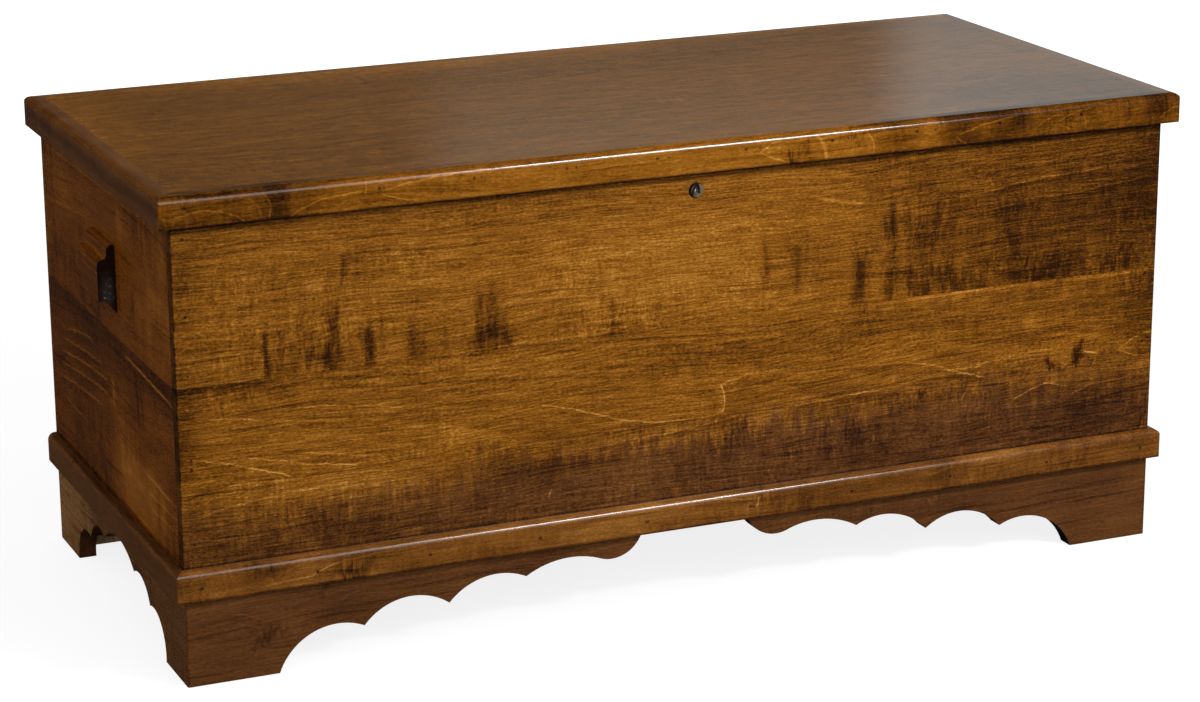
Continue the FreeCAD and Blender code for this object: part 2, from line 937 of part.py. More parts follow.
back_foot_end = skirt_inner_side - s.back_foot_width
apron_bottom = skirt_top - s.back_apron_height
skirt_back = keep(
    prism(
        "skirt_back",
        "XZ",
        both_sides(
            [
                (-skirt_inner_side, skirt_top, 0),
                (-skirt_inner_side, 0, 0),
                (-back_foot_end, 0, 0),
                (s.back_foot_slope - back_foot_end, apron_bottom, 0),
            ]
        ),
        skirt_inner_back,
        back,
    )
)

block_inner_side = skirt_inner_side - s.corner_block_size
corner_blocks = keep(
    group(
        "corner_blocks",
        [
            box(
                f"{end}_{label}_corner_block",
                ordered(sign * skirt_inner_side, sign * block_inner_side),
                block_y,
                (s.corner_block_lift, skirt_top),
            )
            for end, block_y in (
                ("front", (skirt_inner_front, skirt_inner_front + s.corner_block_size)),
                ("back", (skirt_inner_back - s.corner_block_size, skirt_inner_back)),
            )
            for label, sign in SIDES
        ],
    )
)

# --- base moulding: one section round the front and sides, cut at mitres ---


def rounded_top(half_width, bottom, top, radius, middle=0):
    """A section with a flat bottom, and a quarter round at both its upper corners."""
    high = middle + half_width
    return both_sides(
        [(high, bottom, 0), (high, top - radius, QUARTER_TURN), (high - radius, top, 0)], middle
    )


moulding_block = common(
    "moulding_block",
    common(
        "moulding_sections",
        prism(
            "moulding_side_section",
            "XZ",
            rounded_top(moulding_side, moulding_bottom, moulding_top, s.moulding_round),
            moulding_front,
            back,
        ),
        prism(
            "moulding_front_section",
            "YZ",
            [
                (moulding_front, moulding_bottom, 0),
                (back, moulding_bottom, 0),
                (back, moulding_top, 0),
                (moulding_front + s.moulding_round, moulding_top, QUARTER_TURN),
                (moulding_front, moulding_top - s.moulding_round, 0),
            ],
            -moulding_side,
            moulding_side,
        ),
    ),
    prism(
        "moulding_plan",
        "XY",
        both_sides(
            [
                (moulding_side - s.moulding_corner_radius, moulding_front, QUARTER_TURN),
                (moulding_side, moulding_front + s.moulding_corner_radius, 0),
                (moulding_side, back, 0),
            ]
        ),
        moulding_bottom,
        moulding_top,
    ),
)


def strip(name, block, plan, bottom, top, fasteners):
    """The share of a block that a strip's mitred plan cuts out, drilled for its brads."""
    stock = prism(f"{name}_plan", "XY", [(a, b, 0) for a, b in plan], bottom, top)
    return keep(cut(name, common(f"{name}_stock", block, stock), fasteners))


strip(
    "base_moulding_front",
    moulding_block,
    [(-moulding_side, moulding_front), (moulding_side, moulding_front), (side, front), (-side, front)],
    moulding_bottom,
    moulding_top,
    [base_moulding_brads],
)
for label, sign in SIDES:
    strip(
        f"base_moulding_{label}",
        moulding_block,
        [
            (sign * moulding_side, moulding_front),
            (sign * side, front),
            (sign * side, back),
            (sign * moulding_side, back),
        ],
        moulding_bottom,
        moulding_top,
        [base_moulding_brads],
    )

# --- lid: a board framed by deeper strips, rounded over all round ---

lid_block = common(
    "lid_block",
    common(
        "lid_sections",
        prism(
            "lid_side_section",
            "XZ",
            rounded_top(lid_side, lid_bottom, lid_top, s.lid_round),
            lid_front,
            lid_back,
        ),
        prism(
            "lid_front_section",
            "YZ",
            rounded_top(total_depth / 2, lid_bottom, lid_top, s.lid_round),
            -lid_side,
            lid_side,
        ),
    ),
    prism(
        "lid_plan",
        "XY",
        both_sides(
            [
                (lid_side - s.lid_corner_radius, lid_front, QUARTER_TURN),
                (lid_side, lid_front + s.lid_corner_radius, 0),
                (lid_side, lid_back - s.lid_corner_radius, QUARTER_TURN),
                (lid_side - s.lid_corner_radius, lid_back, 0),
            ]
        ),
        lid_bottom,
        lid_top,
    ),
)
lid_inner_side = lid_side - s.lid_edge_width
lid_inner_front = lid_front + s.lid_edge_width
lid_inner_back = lid_back - s.lid_edge_width
for label, outer_y, inner_y, fasteners in (
    ("front", lid_front, lid_inner_front, [lid_edge_brads]),
    ("back", lid_back, lid_inner_back, [lid_edge_brads, hinge_lid_screws]),
):
    strip(
        f"lid_edge_{label}",
        lid_block,
        [(-lid_side, outer_y), (lid_side, outer_y), (lid_inner_side, inner_y), (-lid_inner_side, inner_y)],
        lid_bottom,
        lid_top,
        fasteners,
    )
for label, sign in SIDES:
    strip(
        f"lid_edge_{label}",
        lid_block,
        [
            (sign * lid_side, lid_front),
            (sign * lid_inner_side, lid_inner_front),
            (sign * lid_inner_side, lid_inner_back),
            (sign * lid_side, lid_back),
        ],
        lid_bottom,
        lid_top,
        [lid_edge_brads],
    )
lid_board = box(
    "lid_board",
    (-lid_inner_side, lid_inner_side),
    (lid_inner_front, lid_inner_back),
    (lid_panel_bottom, lid_top),
)
lid_panel = keep(cut("lid_panel", lid_board, [lid_edge_brads, lock_strike_screws]))

# --- bumpers: felt pads on the case's top edge, under the lid's strips ---

front_pad_y = (lid_inner_front - s.bumper_width, lid_inner_front)
bumpers = []
for label, sign in SIDES:
    pad_x = ordered(sign * (side - s.bumper_inset), sign * (side - s.bumper_inset - s.bumper_length))
    bumpers.append(box(f"front_{label}_bumper", pad_x, front_pad_y, (case_top, lid_bottom)))
    pad_x = ordered(sign * lid_inner_side, sign * (lid_inner_side + s.bumper_width))
    pad_y = (back - s.bumper_inset - s.bumper_length, back - s.bumper_inset)
    bumpers.append(box(f"side_{label}_bumper", pad_x, pad_y, (case_top, lid_bottom)))
lid_bumpers = keep(group("lid_bumpers", bumpers))

# --- the rim's outer edge, eased once its solid exists ---

doc.recompute()
rim_edges = [
    (number, s.rim_recess.value, s.rim_recess.value)
    for number, edge in enumerate(lock_rim_sharp.Shape.Edges, start=1)
    if abs(edge.BoundBox.YMax - rim_face.value) < 0.01
    and abs(edge.BoundBox.XLength / 2 - s.rim_radius.value) < 0.01
]
lock_rim.Edges = rim_edges
doc.recompute()

# --- write ---

failed = [obj.Name for obj in doc.Objects if {"Invalid", "Error"} & set(obj.State)]
failed += [node.Name for node in nodes if node.Shape.isNull() or not node.Shape.isValid()]
if failed:
    raise RuntimeError("failed: " + ", ".join(failed))
os.makedirs("parts", exist_ok=True)
for node in nodes:
    node.Shape.exportStep(f"parts/{node.Label}.step")
    extent = node.Shape.BoundBox
    print(
        f"{node.Label:24s} {len(node.Shape.Solids):3d} solids "
        f"{extent.XLength:8.1f} {extent.YLength:8.1f} {extent.ZLength:8.1f}"
    )
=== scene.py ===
import math

import bpy
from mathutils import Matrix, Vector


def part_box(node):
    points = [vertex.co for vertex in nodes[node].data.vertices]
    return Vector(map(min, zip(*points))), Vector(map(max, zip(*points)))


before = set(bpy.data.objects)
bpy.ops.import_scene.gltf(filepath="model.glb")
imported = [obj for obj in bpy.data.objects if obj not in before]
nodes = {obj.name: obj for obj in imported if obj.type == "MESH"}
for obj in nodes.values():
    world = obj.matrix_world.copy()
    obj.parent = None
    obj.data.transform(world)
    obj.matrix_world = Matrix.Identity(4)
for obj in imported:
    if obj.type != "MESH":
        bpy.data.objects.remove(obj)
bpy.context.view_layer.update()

bpy.ops.object.select_all(action="DESELECT")
print("frame loaded with", len(nodes), "nodes")


def paint(red, green, blue):
    # an 8-bit screen colour as the linear colour that a socket takes
    def linear(value):
        value = value / 255
        return value / 12.92 if value <= 0.04045 else ((value + 0.055) / 1.055) ** 2.4
    return (linear(red), linear(green), linear(blue), 1)


# camera
viewPoint = {
    "place": (-1.41, -3.2467, 1.2669),
    "turn": (73.47299808, 0.27100176, -23.51645545),   # degrees
    "lens": 100.1305,
}
cameraData = bpy.data.cameras.new("camera")
cameraData.lens = viewPoint["lens"]
camera = bpy.data.objects.new("camera", cameraData)
camera.location = viewPoint["place"]
camera.rotation_euler = [math.radians(angle) for angle in viewPoint["turn"]]
bpy.context.scene.collection.objects.link(camera)
bpy.context.scene.camera = camera
bpy.context.scene.view_settings.view_transform = "Standard"
print("camera placed")

# noises: scale along and across a board, detail, roughness; a mask also has what it fades between
noiseKinds = {
    "bend": (2.2, 9, 2, 0.55), "speck": (240, 700, 3, 0.75), "fine": (28, 420, 3, 0.65),
    "streak": (3, 90, 3, 0.55), "line": (5, 260, 2, 0.5, 0.55, 0.64),
    "linePlace": (9, 40, 2, 0.5, 0.38, 0.62), "fleck": (90, 520, 2, 0.6, 0.58, 0.7), "sway": (30, 34, 3, 0.6),
    "broadBar": (62, 9, 2, 0.5), "narrowBar": (250, 22, 3, 0.65), "ripple": (300, 50, 3, 0.7),
    "blotch": (9, 20, 3, 0.6), "curlPlace": (3.4, 6, 2, 0.5, 0.46, 0.66), "ringWander": (5, 22, 3, 0.6),
    "ringJag": (40, 120, 2, 0.6), "ringPlace": (9, 20, 2, 0.6, 0.34, 0.58, 0.25, 1),
    "ragged": (60, 60, 3, 0.6), "patchWave": (110, 14, 4, 0.7), "wobbleAlong": (60, 60, 3, 0.65),
    "wobbleAcross": (70, 70, 3, 0.65), "paleSpeck": (420, 420, 2, 0.6, 0.6, 0.7), "cloud": (240, 240, 3, 0.6),
    "scratch": (90, 2600, 2, 0.6, 0.52, 0.72),
}


# node helpers
def addNode(tree, kind, values=None, **settings):
    node = tree.nodes.new("ShaderNode" + kind)
    for key, value in settings.items():
        setattr(node, key, value)
    for key, value in (values or {}).items():
        socket = node.inputs[key]
        if isinstance(value, bpy.types.NodeSocket):
            tree.links.new(value, socket)
        else:
            socket.default_value = value
    return node


def calc(tree, operation, first, second=0, third=0):
    # left unclamped, because a long chain of clamped nodes outgrows what the renderer can hold
    return addNode(tree, "Math", {0: first, 1: second, 2: third}, operation=operation).outputs[0]


def plus(tree, first, second):
    return calc(tree, "ADD", first, second)


def minus(tree, first, second):
    return calc(tree, "SUBTRACT", first, second)


def times(tree, first, second):
    return calc(tree, "MULTIPLY", first, second)


def timesPlus(tree, first, second, third):
    return calc(tree, "MULTIPLY_ADD", first, second, third)


def vectorCalc(tree, operation, first, second=(0, 0, 0)):
    node = addNode(tree, "VectorMath", {0: first, 1: second}, operation=operation)
    return node.outputs["Value" if operation in ("LENGTH", "DOT_PRODUCT") else "Vector"]


def split(tree, vector):
    return addNode(tree, "SeparateXYZ", {0: vector}).outputs


def join(tree, x=0, y=0, z=0):
    return addNode(tree, "CombineXYZ", {0: x, 1: y, 2: z}).outputs[0]


def fade(tree, value, low, high, start=0, end=1):
    return addNode(tree, "MapRange", {0: value, 1: low, 2: high, 3: start, 4: end},
                   interpolation_type="SMOOTHSTEP").outputs[0]


def noise(tree, vector, kind):
    along, across, detail, roughness = noiseKinds[kind][:4]
    stretched = addNode(tree, "Mapping", {"Vector": vector, "Scale": (along, across, across)}).outputs[0]
    return addNode(tree, "TexNoise", {
        "Vector": stretched, "Scale": 1, "Detail": detail, "Roughness": roughness}).outputs[0]


def mask(tree, vector, kind):
    return fade(tree, noise(tree, vector, kind), *noiseKinds[kind][4:])


def centred(tree, value, amount):
    return times(tree, minus(tree, value, 0.5), amount)


def blendColour(tree, share, first, second):
    return addNode(tree, "Mix", {0: share, 6: first, 7: second}, data_type="RGBA").outputs[2]


def colourRamp(tree, value, stops):
    node = addNode(tree, "ValToRGB", {0: value})
    elements = node.color_ramp.elements
    while len(elements) < len(stops):
        elements.new(0.5)
    for element, (position, colour) in zip(elements, stops):
        element.position = position
        element.color = colour
    return node.outputs[0]


def makeGroup(name, vectors, numbers, build):
    tree = bpy.data.node_groups.new(name, "ShaderNodeTree")
    for label in vectors + numbers:
        kind = "Vector" if label in vectors else "Float"
        tree.interface.new_socket(label, in_out="INPUT", socket_type="NodeSocket" + kind)
    results = build(tree, tree.nodes.new("NodeGroupInput").outputs)
    for label, value in results.items():
        kind = "Vector" if value.type == "VECTOR" else "Float"
        tree.interface.new_socket(label, in_out="OUTPUT", socket_type="NodeSocket" + kind)
    end = tree.nodes.new("NodeGroupOutput")
    for label, value in results.items():
        tree.links.new(value, end.inputs[label])
    return tree


def useGroup(tree, group, values):
    return addNode(tree, "Group", values, node_tree=group).outputs


def newMaterial(name):
    material = bpy.data.materials.new(name)
    material.use_nodes = True
    tree = material.node_tree
    return material, tree, tree.nodes["Principled BSDF"]


# shared wood groups; a board's own space is (along the grain, across it, depth), in metres
figure = {
    "fibreBend": 0.05, "barSway": 0.016, "broadShare": 0.58, "narrowShare": 0.62, "barFade": (0.5, 0.72),
    "ringJag": 0.12, "patchFade": (1.45, 0.15), "strokeEnds": 0.14, "strokeShadow": 0.013,
    "edgeRagged": 0.004,
}


def buildFibre(tree, given):
    seeded = vectorCalc(tree, "ADD", given["Vector"], given["Seed"])
    bend = centred(tree, noise(tree, seeded, "bend"), figure["fibreBend"])
    bent = vectorCalc(tree, "ADD", seeded, join(tree, y=bend))
    return {
        "Speck": noise(tree, bent, "speck"), "Fine": noise(tree, bent, "fine"),
        "Streak": noise(tree, bent, "streak"),
        "Line": times(tree, mask(tree, bent, "line"), mask(tree, bent, "linePlace")),
        "Fleck": mask(tree, bent, "fleck"), "Bent": bent}


def buildCurl(tree, given):
    # bars stand across the grain; their upright edges are broken up by a finer noise
    place = given["Vector"]
    sway = centred(tree, noise(tree, place, "sway"), figure["barSway"])
    swayed = vectorCalc(tree, "ADD", place, join(tree, x=sway))
    broad = noise(tree, swayed, "broadBar")
    narrow = noise(tree, swayed, "narrowBar")
    broad = times(tree, broad, figure["broadShare"])
    bars = timesPlus(tree, narrow, figure["narrowShare"], broad)
    return {
        "Bars": fade(tree, bars, *figure["barFade"]), "Ripple": noise(tree, swayed, "ripple"),
        "Blotch": noise(tree, place, "blotch"), "Place": mask(tree, place, "curlPlace")}


def buildRings(tree, given):
    # pointed growth rings: each line is where along + curve * across^2 passes a whole gap
    place = given["Vector"]
    fromTip = split(tree, vectorCalc(tree, "SUBTRACT", place, given["Tip"]))
    wander = minus(tree, noise(tree, place, "ringWander"), 0.5)
    jag = minus(tree, noise(tree, place, "ringJag"), 0.5)
    wander = times(tree, wander, given["Wander"])
    jag = times(tree, jag, times(tree, given["Wander"], figure["ringJag"]))
    offset = plus(tree, wander, jag)
    bow = times(tree, times(tree, fromTip[1], fromTip[1]), given["Curve"])
    field = plus(tree, plus(tree, fromTip[0], bow), offset)
    inTurn = calc(tree, "FRACT", plus(tree, calc(tree, "DIVIDE", field, given["Gap"]), 0.5))
    away = times(tree, calc(tree, "ABSOLUTE", minus(tree, inTurn, 0.5)), given["Gap"])
    slope = times(tree, times(tree, fromTip[1], given["Curve"]), 2)
    steep = calc(tree, "SQRT", plus(tree, times(tree, slope, slope), 1))
    line = fade(tree, calc(tree, "DIVIDE", away, steep), 0, given["Width"], 1, 0)
    return {"Line": times(tree, line, mask(tree, place, "ringPlace")), "Rise": inTurn}


def buildPatch(tree, given):
    # a soft spot of darker or paler stain, broken into bars as far as Barred says
    apart = vectorCalc(tree, "SUBTRACT", given["Vector"], given["Middle"])
    apart = vectorCalc(tree, "DIVIDE", apart, given["Reach"])
    covered = fade(tree, vectorCalc(tree, "LENGTH", apart), *figure["patchFade"])
    through = plus(tree, minus(tree, 1, given["Barred"]), times(tree, given["Barred"], given["Bars"]))
    shade = times(tree, times(tree, covered, through), given["Depth"])
    return {"Shade": plus(tree, given["Before"], shade)}


def buildStroke(tree, given):
    # one bowed line of grain from Start to End, darker wood on one side of it
    start = split(tree, given["Start"])
    span = split(tree, vectorCalc(tree, "SUBTRACT", given["End"], given["Start"]))
    part = calc(tree, "DIVIDE", minus(tree, given["Along"], start[0]), span[0])
    hump = times(tree, part, minus(tree, 1, part))   # a quarter at mid length
    middle = timesPlus(tree, part, span[1], start[1])
    middle = timesPlus(tree, hump, times(tree, given["Bow"], 4), middle)
    apart = minus(tree, given["Across"], middle)
    ends = fade(tree, hump, 0, figure["strokeEnds"])
    line = fade(tree, calc(tree, "ABSOLUTE", apart), 0, given["Width"], 1, 0)
    below = times(tree, fade(tree, apart, -figure["strokeShadow"], 0),
                  calc(tree, "LESS_THAN", apart, 0))
    mark = minus(tree, times(tree, line, given["Light"]), times(tree, below, given["Below"]))
    return {"Tone": timesPlus(tree, mark, ends, given["Before"])}


def buildEdge(tree, given):
    # the second smallest distance to a box's faces is how far a point on it lies from the nearest edge
    apart = vectorCalc(tree, "ABSOLUTE", vectorCalc(tree, "SUBTRACT", given["Vector"], given["Middle"]))
    gaps = split(tree, vectorCalc(tree, "SUBTRACT", given["Half"], apart))
    least = calc(tree, "MINIMUM", gaps[0], gaps[1])
    most = calc(tree, "MAXIMUM", gaps[0], gaps[1])
    second = calc(tree, "MAXIMUM", least, calc(tree, "MINIMUM", most, gaps[2]))
    ragged = centred(tree, noise(tree, given["Vector"], "ragged"), figure["edgeRagged"])
    return {"Edge": fade(tree, plus(tree, second, ragged), 0, given["Width"], 1, 0)}


fibreGroup = makeGroup("fibreGrain", ["Vector", "Seed"], [], buildFibre)
curlGroup = makeGroup("curlFigure", ["Vector"], [], buildCurl)
ringGroup = makeGroup("growthRings", ["Vector", "Tip"], ["Curve", "Gap", "Wander", "Width"], buildRings)
patchGroup = makeGroup(
    "stainPatch", ["Vector", "Middle", "Reach"], ["Bars", "Barred", "Depth", "Before"], buildPatch)
strokeGroup = makeGroup(
    "grainStroke", ["Start", "End"], ["Along", "Across", "Bow", "Width", "Light", "Below", "Before"],
    buildStroke)
edgeGroup = makeGroup("boardEdge", ["Vector", "Middle", "Half"], ["Width"], buildEdge)


def stain(*rows):
    return [(place, paint(*colour)) for place, *colour in rows]


goldenStain = stain(
    (0, 38, 17, 2), (0.2, 68, 36, 4), (0.38, 98, 57, 8), (0.52, 122, 73, 14), (0.66, 142, 89, 22),
    (0.82, 168, 113, 40), (1, 192, 144, 78))
redStain = stain(
    (0, 38, 15, 2), (0.2, 70, 32, 3), (0.38, 96, 48, 5), (0.52, 118, 62, 8), (0.66, 137, 76, 14),
    (0.82, 162, 98, 28), (1, 190, 130, 60))
brownStain = stain(
    (0, 32, 16, 8), (0.24, 60, 32, 12), (0.42, 82, 47, 19), (0.56, 97, 58, 25), (0.72, 114, 71, 32),
    (1, 160, 114, 64))
bareMaple = stain(
    (0, 118, 84, 50), (0.3, 170, 130, 86), (0.55, 200, 164, 118), (0.8, 216, 184, 140), (1, 232, 206, 166))
print("wood groups built")

# a plain board, which each piece's dictionary changes; it may add edges, its box, and nails: the first brad
# and the step to the next, along and across
plainBoard = {
    "axes": "xzy",   # along the grain, across it, depth
    "joints": [],   # heights of glue joints
    "tones": [0.5],   # one for each board between joints
    "seed": (0, 0, 0), "stain": goldenStain, "look": {},
    "face": 0,   # where the drawn side lies in depth
    "figure": [], "brown": [], "rings": [], "strokes": [], "uprights": [],
    "seams": [],   # painted shade along lines where parts meet or overhang, and painted light where the light is positive: height, light, width
    "endGrain": 0.3, "edgeTone": -0.1, "edgeWidth": 0.003, "roughness": 0.27, "specular": 0.5,
}
# how strongly each kind of grain shows
grainLook = {
    "speck": 0.85, "fine": 0.55, "streak": 0.34, "line": 0.16, "blotch": 0.28, "curl": 0.12, "ripple": 0.22,
    "fleck": 0.1,
}
# marks that every board has alike, in metres but for strokeWidth, which like the strokes is in millimetres
marks = {
    "seedStep": (3.71, 1.93), "jointWidth": 0.0011, "jointTone": -0.1, "jointRelief": -0.5,
    "rippleShare": (1.1, 0.35),   # the ripple comes and goes along a board
    "patchWave": 0.02, "patchRipple": 0.006, "patchRise": 0.1, "ringWidth": 0.0012, "strokeWobble": 0.006,
    "strokeWidth": 1.5, "nailFade": (0.0024, 0.0009), "nailTone": -0.32, "endFacing": (0.55, 0.85),
    "endRoughness": 0.15, "fineRoughness": 0.14, "fleckRelief": -0.6, "relief": 0.05, "reliefDepth": 0.0004,
}
# painted on the handles' end grain: a darker end, partly stain and partly painted shade, with a painted grey
# sheen and pale painted glints
endShadeAndSheen = {
    "fade": (1.1, 0.1), "dark": paint(16, 9, 9), "darkShare": 0.75, "grey": paint(64, 58, 58),
    "greyShare": 0.8, "specks": paint(170, 160, 158),
}
oneByOne = 1e-7   # too small to show; makes the renderer work lines out in turn, so that its stack holds them


def stainedWood(name, changes):
    plan = dict(plainBoard, **changes)
    look = dict(grainLook, **plan["look"])
    material, tree, shader = newMaterial(name)
    place = addNode(tree, "TexCoord").outputs
    spots = split(tree, place["Object"])
    facing = split(tree, place["Normal"])
    order = ["xyz".index(letter) for letter in plan["axes"]]
    along, across, depth = (spots[index] for index in order)
    board = join(tree, along, across, depth)

    def within(band):
        return times(tree, calc(tree, "GREATER_THAN", across, band[0]),
                     calc(tree, "LESS_THAN", across, band[1]))

    def patches(rows, bars=0):
        # rows, in millimetres: middle along, across, reach along, across; then depth and any share barred
        before = 0
        for middleAlong, middleAcross, reachAlong, reachAcross, strength, *barred in rows:
            before = useGroup(tree, patchGroup, {
                "Vector": wavy, "Middle": (middleAlong / 1000, middleAcross / 1000, plan["face"]),
                "Reach": (reachAlong / 1000, reachAcross / 1000, 1), "Bars": bars, "Barred": sum(barred),
                "Depth": strength, "Before": before})["Shade"]
        return before

    # boards glued edge to edge: each joint passed moves the figure on and changes the tone
    stepTone = plan["tones"][0]
    stepSeed = 0
    joint = 0
    for number, height in enumerate(plan["joints"]):
        above = calc(tree, "GREATER_THAN", across, height)
        change = plan["tones"][number + 1] - plan["tones"][number]
        stepTone = timesPlus(tree, above, change, stepTone)
        stepSeed = timesPlus(tree, above, 1, stepSeed)
        away = calc(tree, "ABSOLUTE", minus(tree, across, height))
        joint = plus(tree, joint, fade(tree, away, 0, marks["jointWidth"], 1, 0))
    seed = plan["seed"]
    seedVector = join(tree, timesPlus(tree, stepSeed, marks["seedStep"][0], seed[0]),
                      timesPlus(tree, stepSeed, marks["seedStep"][1], seed[1]), seed[2])
    fibre = useGroup(tree, fibreGroup, {"Vector": board, "Seed": seedVector})
    curl = useGroup(tree, curlGroup, {"Vector": fibre["Bent"]})

    tone = plus(tree, centred(tree, fibre["Fine"], look["fine"]),
                centred(tree, fibre["Streak"], look["streak"]))
    tone = plus(tree, tone, centred(tree, curl["Blotch"], look["blotch"]))
    tone = plus(tree, tone, centred(tree, fibre["Speck"], look["speck"]))
    tone = plus(tree, tone, stepTone)
    shade = times(tree, times(tree, curl["Bars"], curl["Place"]), look["curl"])
    curly = timesPlus(tree, curl["Place"], *marks["rippleShare"])
    shade = timesPlus(tree, centred(tree, curl["Ripple"], look["ripple"]), curly, shade)
    shade = timesPlus(tree, fibre["Fleck"], look["fleck"], shade)
    shade = timesPlus(tree, fibre["Line"], look["line"], shade)

    # patches that the stain took more or less strongly, barred where the grain is curly
    waveAlong = plus(tree, centred(tree, curl["Blotch"], marks["patchWave"]),
                     centred(tree, curl["Ripple"], marks["patchRipple"]))
    waveAcross = centred(tree, noise(tree, board, "patchWave"), marks["patchRise"])
    wavy = vectorCalc(tree, "ADD", board, join(tree, waveAlong, waveAcross))
    for area in plan["figure"]:
        part = patches(area["spots"], curl["Bars"])
        shade = timesPlus(tree, part, within(area["band"]), shade)
    tone = minus(tree, tone, shade)
    for ring in plan["rings"]:
        lines = useGroup(tree, ringGroup, {
            "Vector": vectorCalc(tree, "MULTIPLY", board, (ring["way"], 1, 1)),
            "Tip": (ring["tip"][0] * ring["way"], ring["tip"][1], 0), "Curve": ring["curve"],
            "Gap": ring["gap"], "Wander": ring["wander"], "Width": ring.get("width", marks["ringWidth"])})
        mark = plus(tree, times(tree, lines["Line"], ring["light"]),
                    centred(tree, lines["Rise"], ring["rise"]))
        tone = timesPlus(tree, mark, within(ring["band"]), tone)

    # single lines of figure, in millimetres: along, across, to along, across, bow, light and, if given,
    # how dark it is below and the width
    wobbleAcross = centred(tree, noise(tree, board, "wobbleAcross"), marks["strokeWobble"])
    wobbleAlong = centred(tree, noise(tree, board, "wobbleAlong"), marks["strokeWobble"])
    drawnAlong = plus(tree, along, wobbleAlong)
    drawnAcross = plus(tree, across, wobbleAcross)
    drawn = 0
    for key, first, second in (("strokes", drawnAlong, drawnAcross), ("uprights", drawnAcross, drawnAlong)):
        for startAlong, startAcross, endAlong, endAcross, bow, light, *rest in plan[key]:
            below, width = rest + [0, marks["strokeWidth"]][len(rest):]
            drawn = useGroup(tree, strokeGroup, {
                "Along": timesPlus(tree, drawn, oneByOne, first), "Across": second,
                "Start": (startAlong / 1000, startAcross / 1000, 0),
                "End": (endAlong / 1000, endAcross / 1000, 0), "Bow": bow / 1000, "Light": light,
                "Below": below, "Width": width / 1000, "Before": drawn})["Tone"]
    tone = plus(tree, tone, drawn)
    if "nails" in plan:
        # stain pooled round the brads, which stand in rows
        firstAlong, stepAlong, firstAcross, stepAcross = plan["nails"]
        gaps = []
        for value, first, step in ((along, firstAlong, stepAlong), (across, firstAcross, stepAcross)):
            inStep = calc(tree, "FRACT", timesPlus(tree, value, 1 / step, 0.5 - first / step))
            gaps.append(centred(tree, inStep, step))
        pooled = fade(tree, vectorCalc(tree, "LENGTH", join(tree, *gaps)), *marks["nailFade"])
        tone = timesPlus(tree, pooled, marks["nailTone"], tone)
    # painted shade and painted light along lines
    for height, light, width in plan["seams"]:
        away = calc(tree, "ABSOLUTE", minus(tree, across, height))
        tone = timesPlus(tree, fade(tree, away, 0, width, 1, 0), light, tone)
    tone = timesPlus(tree, joint, marks["jointTone"], tone)

    # end grain drinks stain and goes dark
    end = fade(tree, calc(tree, "ABSOLUTE", facing[order[0]]), *marks["endFacing"])
    tone = timesPlus(tree, end, -plan["endGrain"], tone)
    if "edges" in plan:
        low, high = plan["edges"]
        edge = useGroup(tree, edgeGroup, {
            "Vector": place["Object"], "Middle": [(a + b) / 2 for a, b in zip(low, high)],
            "Half": [(b - a) / 2 for a, b in zip(low, high)], "Width": plan["edgeWidth"]})["Edge"]
        tone = timesPlus(tree, edge, plan["edgeTone"], tone)
    colour = colourRamp(tree, tone, plan["stain"])
    if plan["brown"]:
        brown = calc(tree, "MINIMUM", patches(plan["brown"]), 1)
        colour = blendColour(tree, brown, colour, colourRamp(tree, tone, brownStain))
    # painted shade, a painted grey sheen and pale painted glints on the end grain, where given
    if "bloom" in plan:
        apart = vectorCalc(tree, "SUBTRACT", place["Object"], plan["bloom"]["middle"])
        apart = vectorCalc(tree, "LENGTH", vectorCalc(tree, "DIVIDE", apart, plan["bloom"]["reach"]))
        bloom = times(tree, fade(tree, apart, *endShadeAndSheen["fade"]), end)
        dark = times(tree, end, endShadeAndSheen["darkShare"])
        colour = blendColour(tree, dark, colour, endShadeAndSheen["dark"])
        grey = times(tree, bloom, endShadeAndSheen["greyShare"])
        colour = blendColour(tree, grey, colour, endShadeAndSheen["grey"])
        specks = times(tree, mask(tree, place["Object"], "paleSpeck"), bloom)
        colour = blendColour(tree, specks, colour, endShadeAndSheen["specks"])
    fineRoughness = marks["fineRoughness"]
    rough = timesPlus(tree, fibre["Fine"], fineRoughness, plan["roughness"] - fineRoughness / 2)
    rough = timesPlus(tree, end, marks["endRoughness"], rough)
    height = timesPlus(tree, fibre["Fleck"], marks["fleckRelief"], fibre["Fine"])
    height = timesPlus(tree, joint, marks["jointRelief"], height)
    bump = addNode(tree, "Bump", {
        "Height": height, "Strength": marks["relief"], "Distance": marks["reliefDepth"]})
    tree.links.new(colour, shader.inputs["Base Color"])
    tree.links.new(rough, shader.inputs["Roughness"])
    tree.links.new(bump.outputs[0], shader.inputs["Normal"])
    shader.inputs["Specular IOR Level"].default_value = plan["specular"]
    return material


def nodeEdges(name):
    low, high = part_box(name)
    return [tuple(low), tuple(high)]


def finishNode(name, material):
    piece = nodes[name]
    for slot in piece.material_slots:
        slot.material = material


def finishWood(node, plan, name=None, **changes):
    finishNode(node, stainedWood(name or node + "Wood", dict(plan, **changes)))


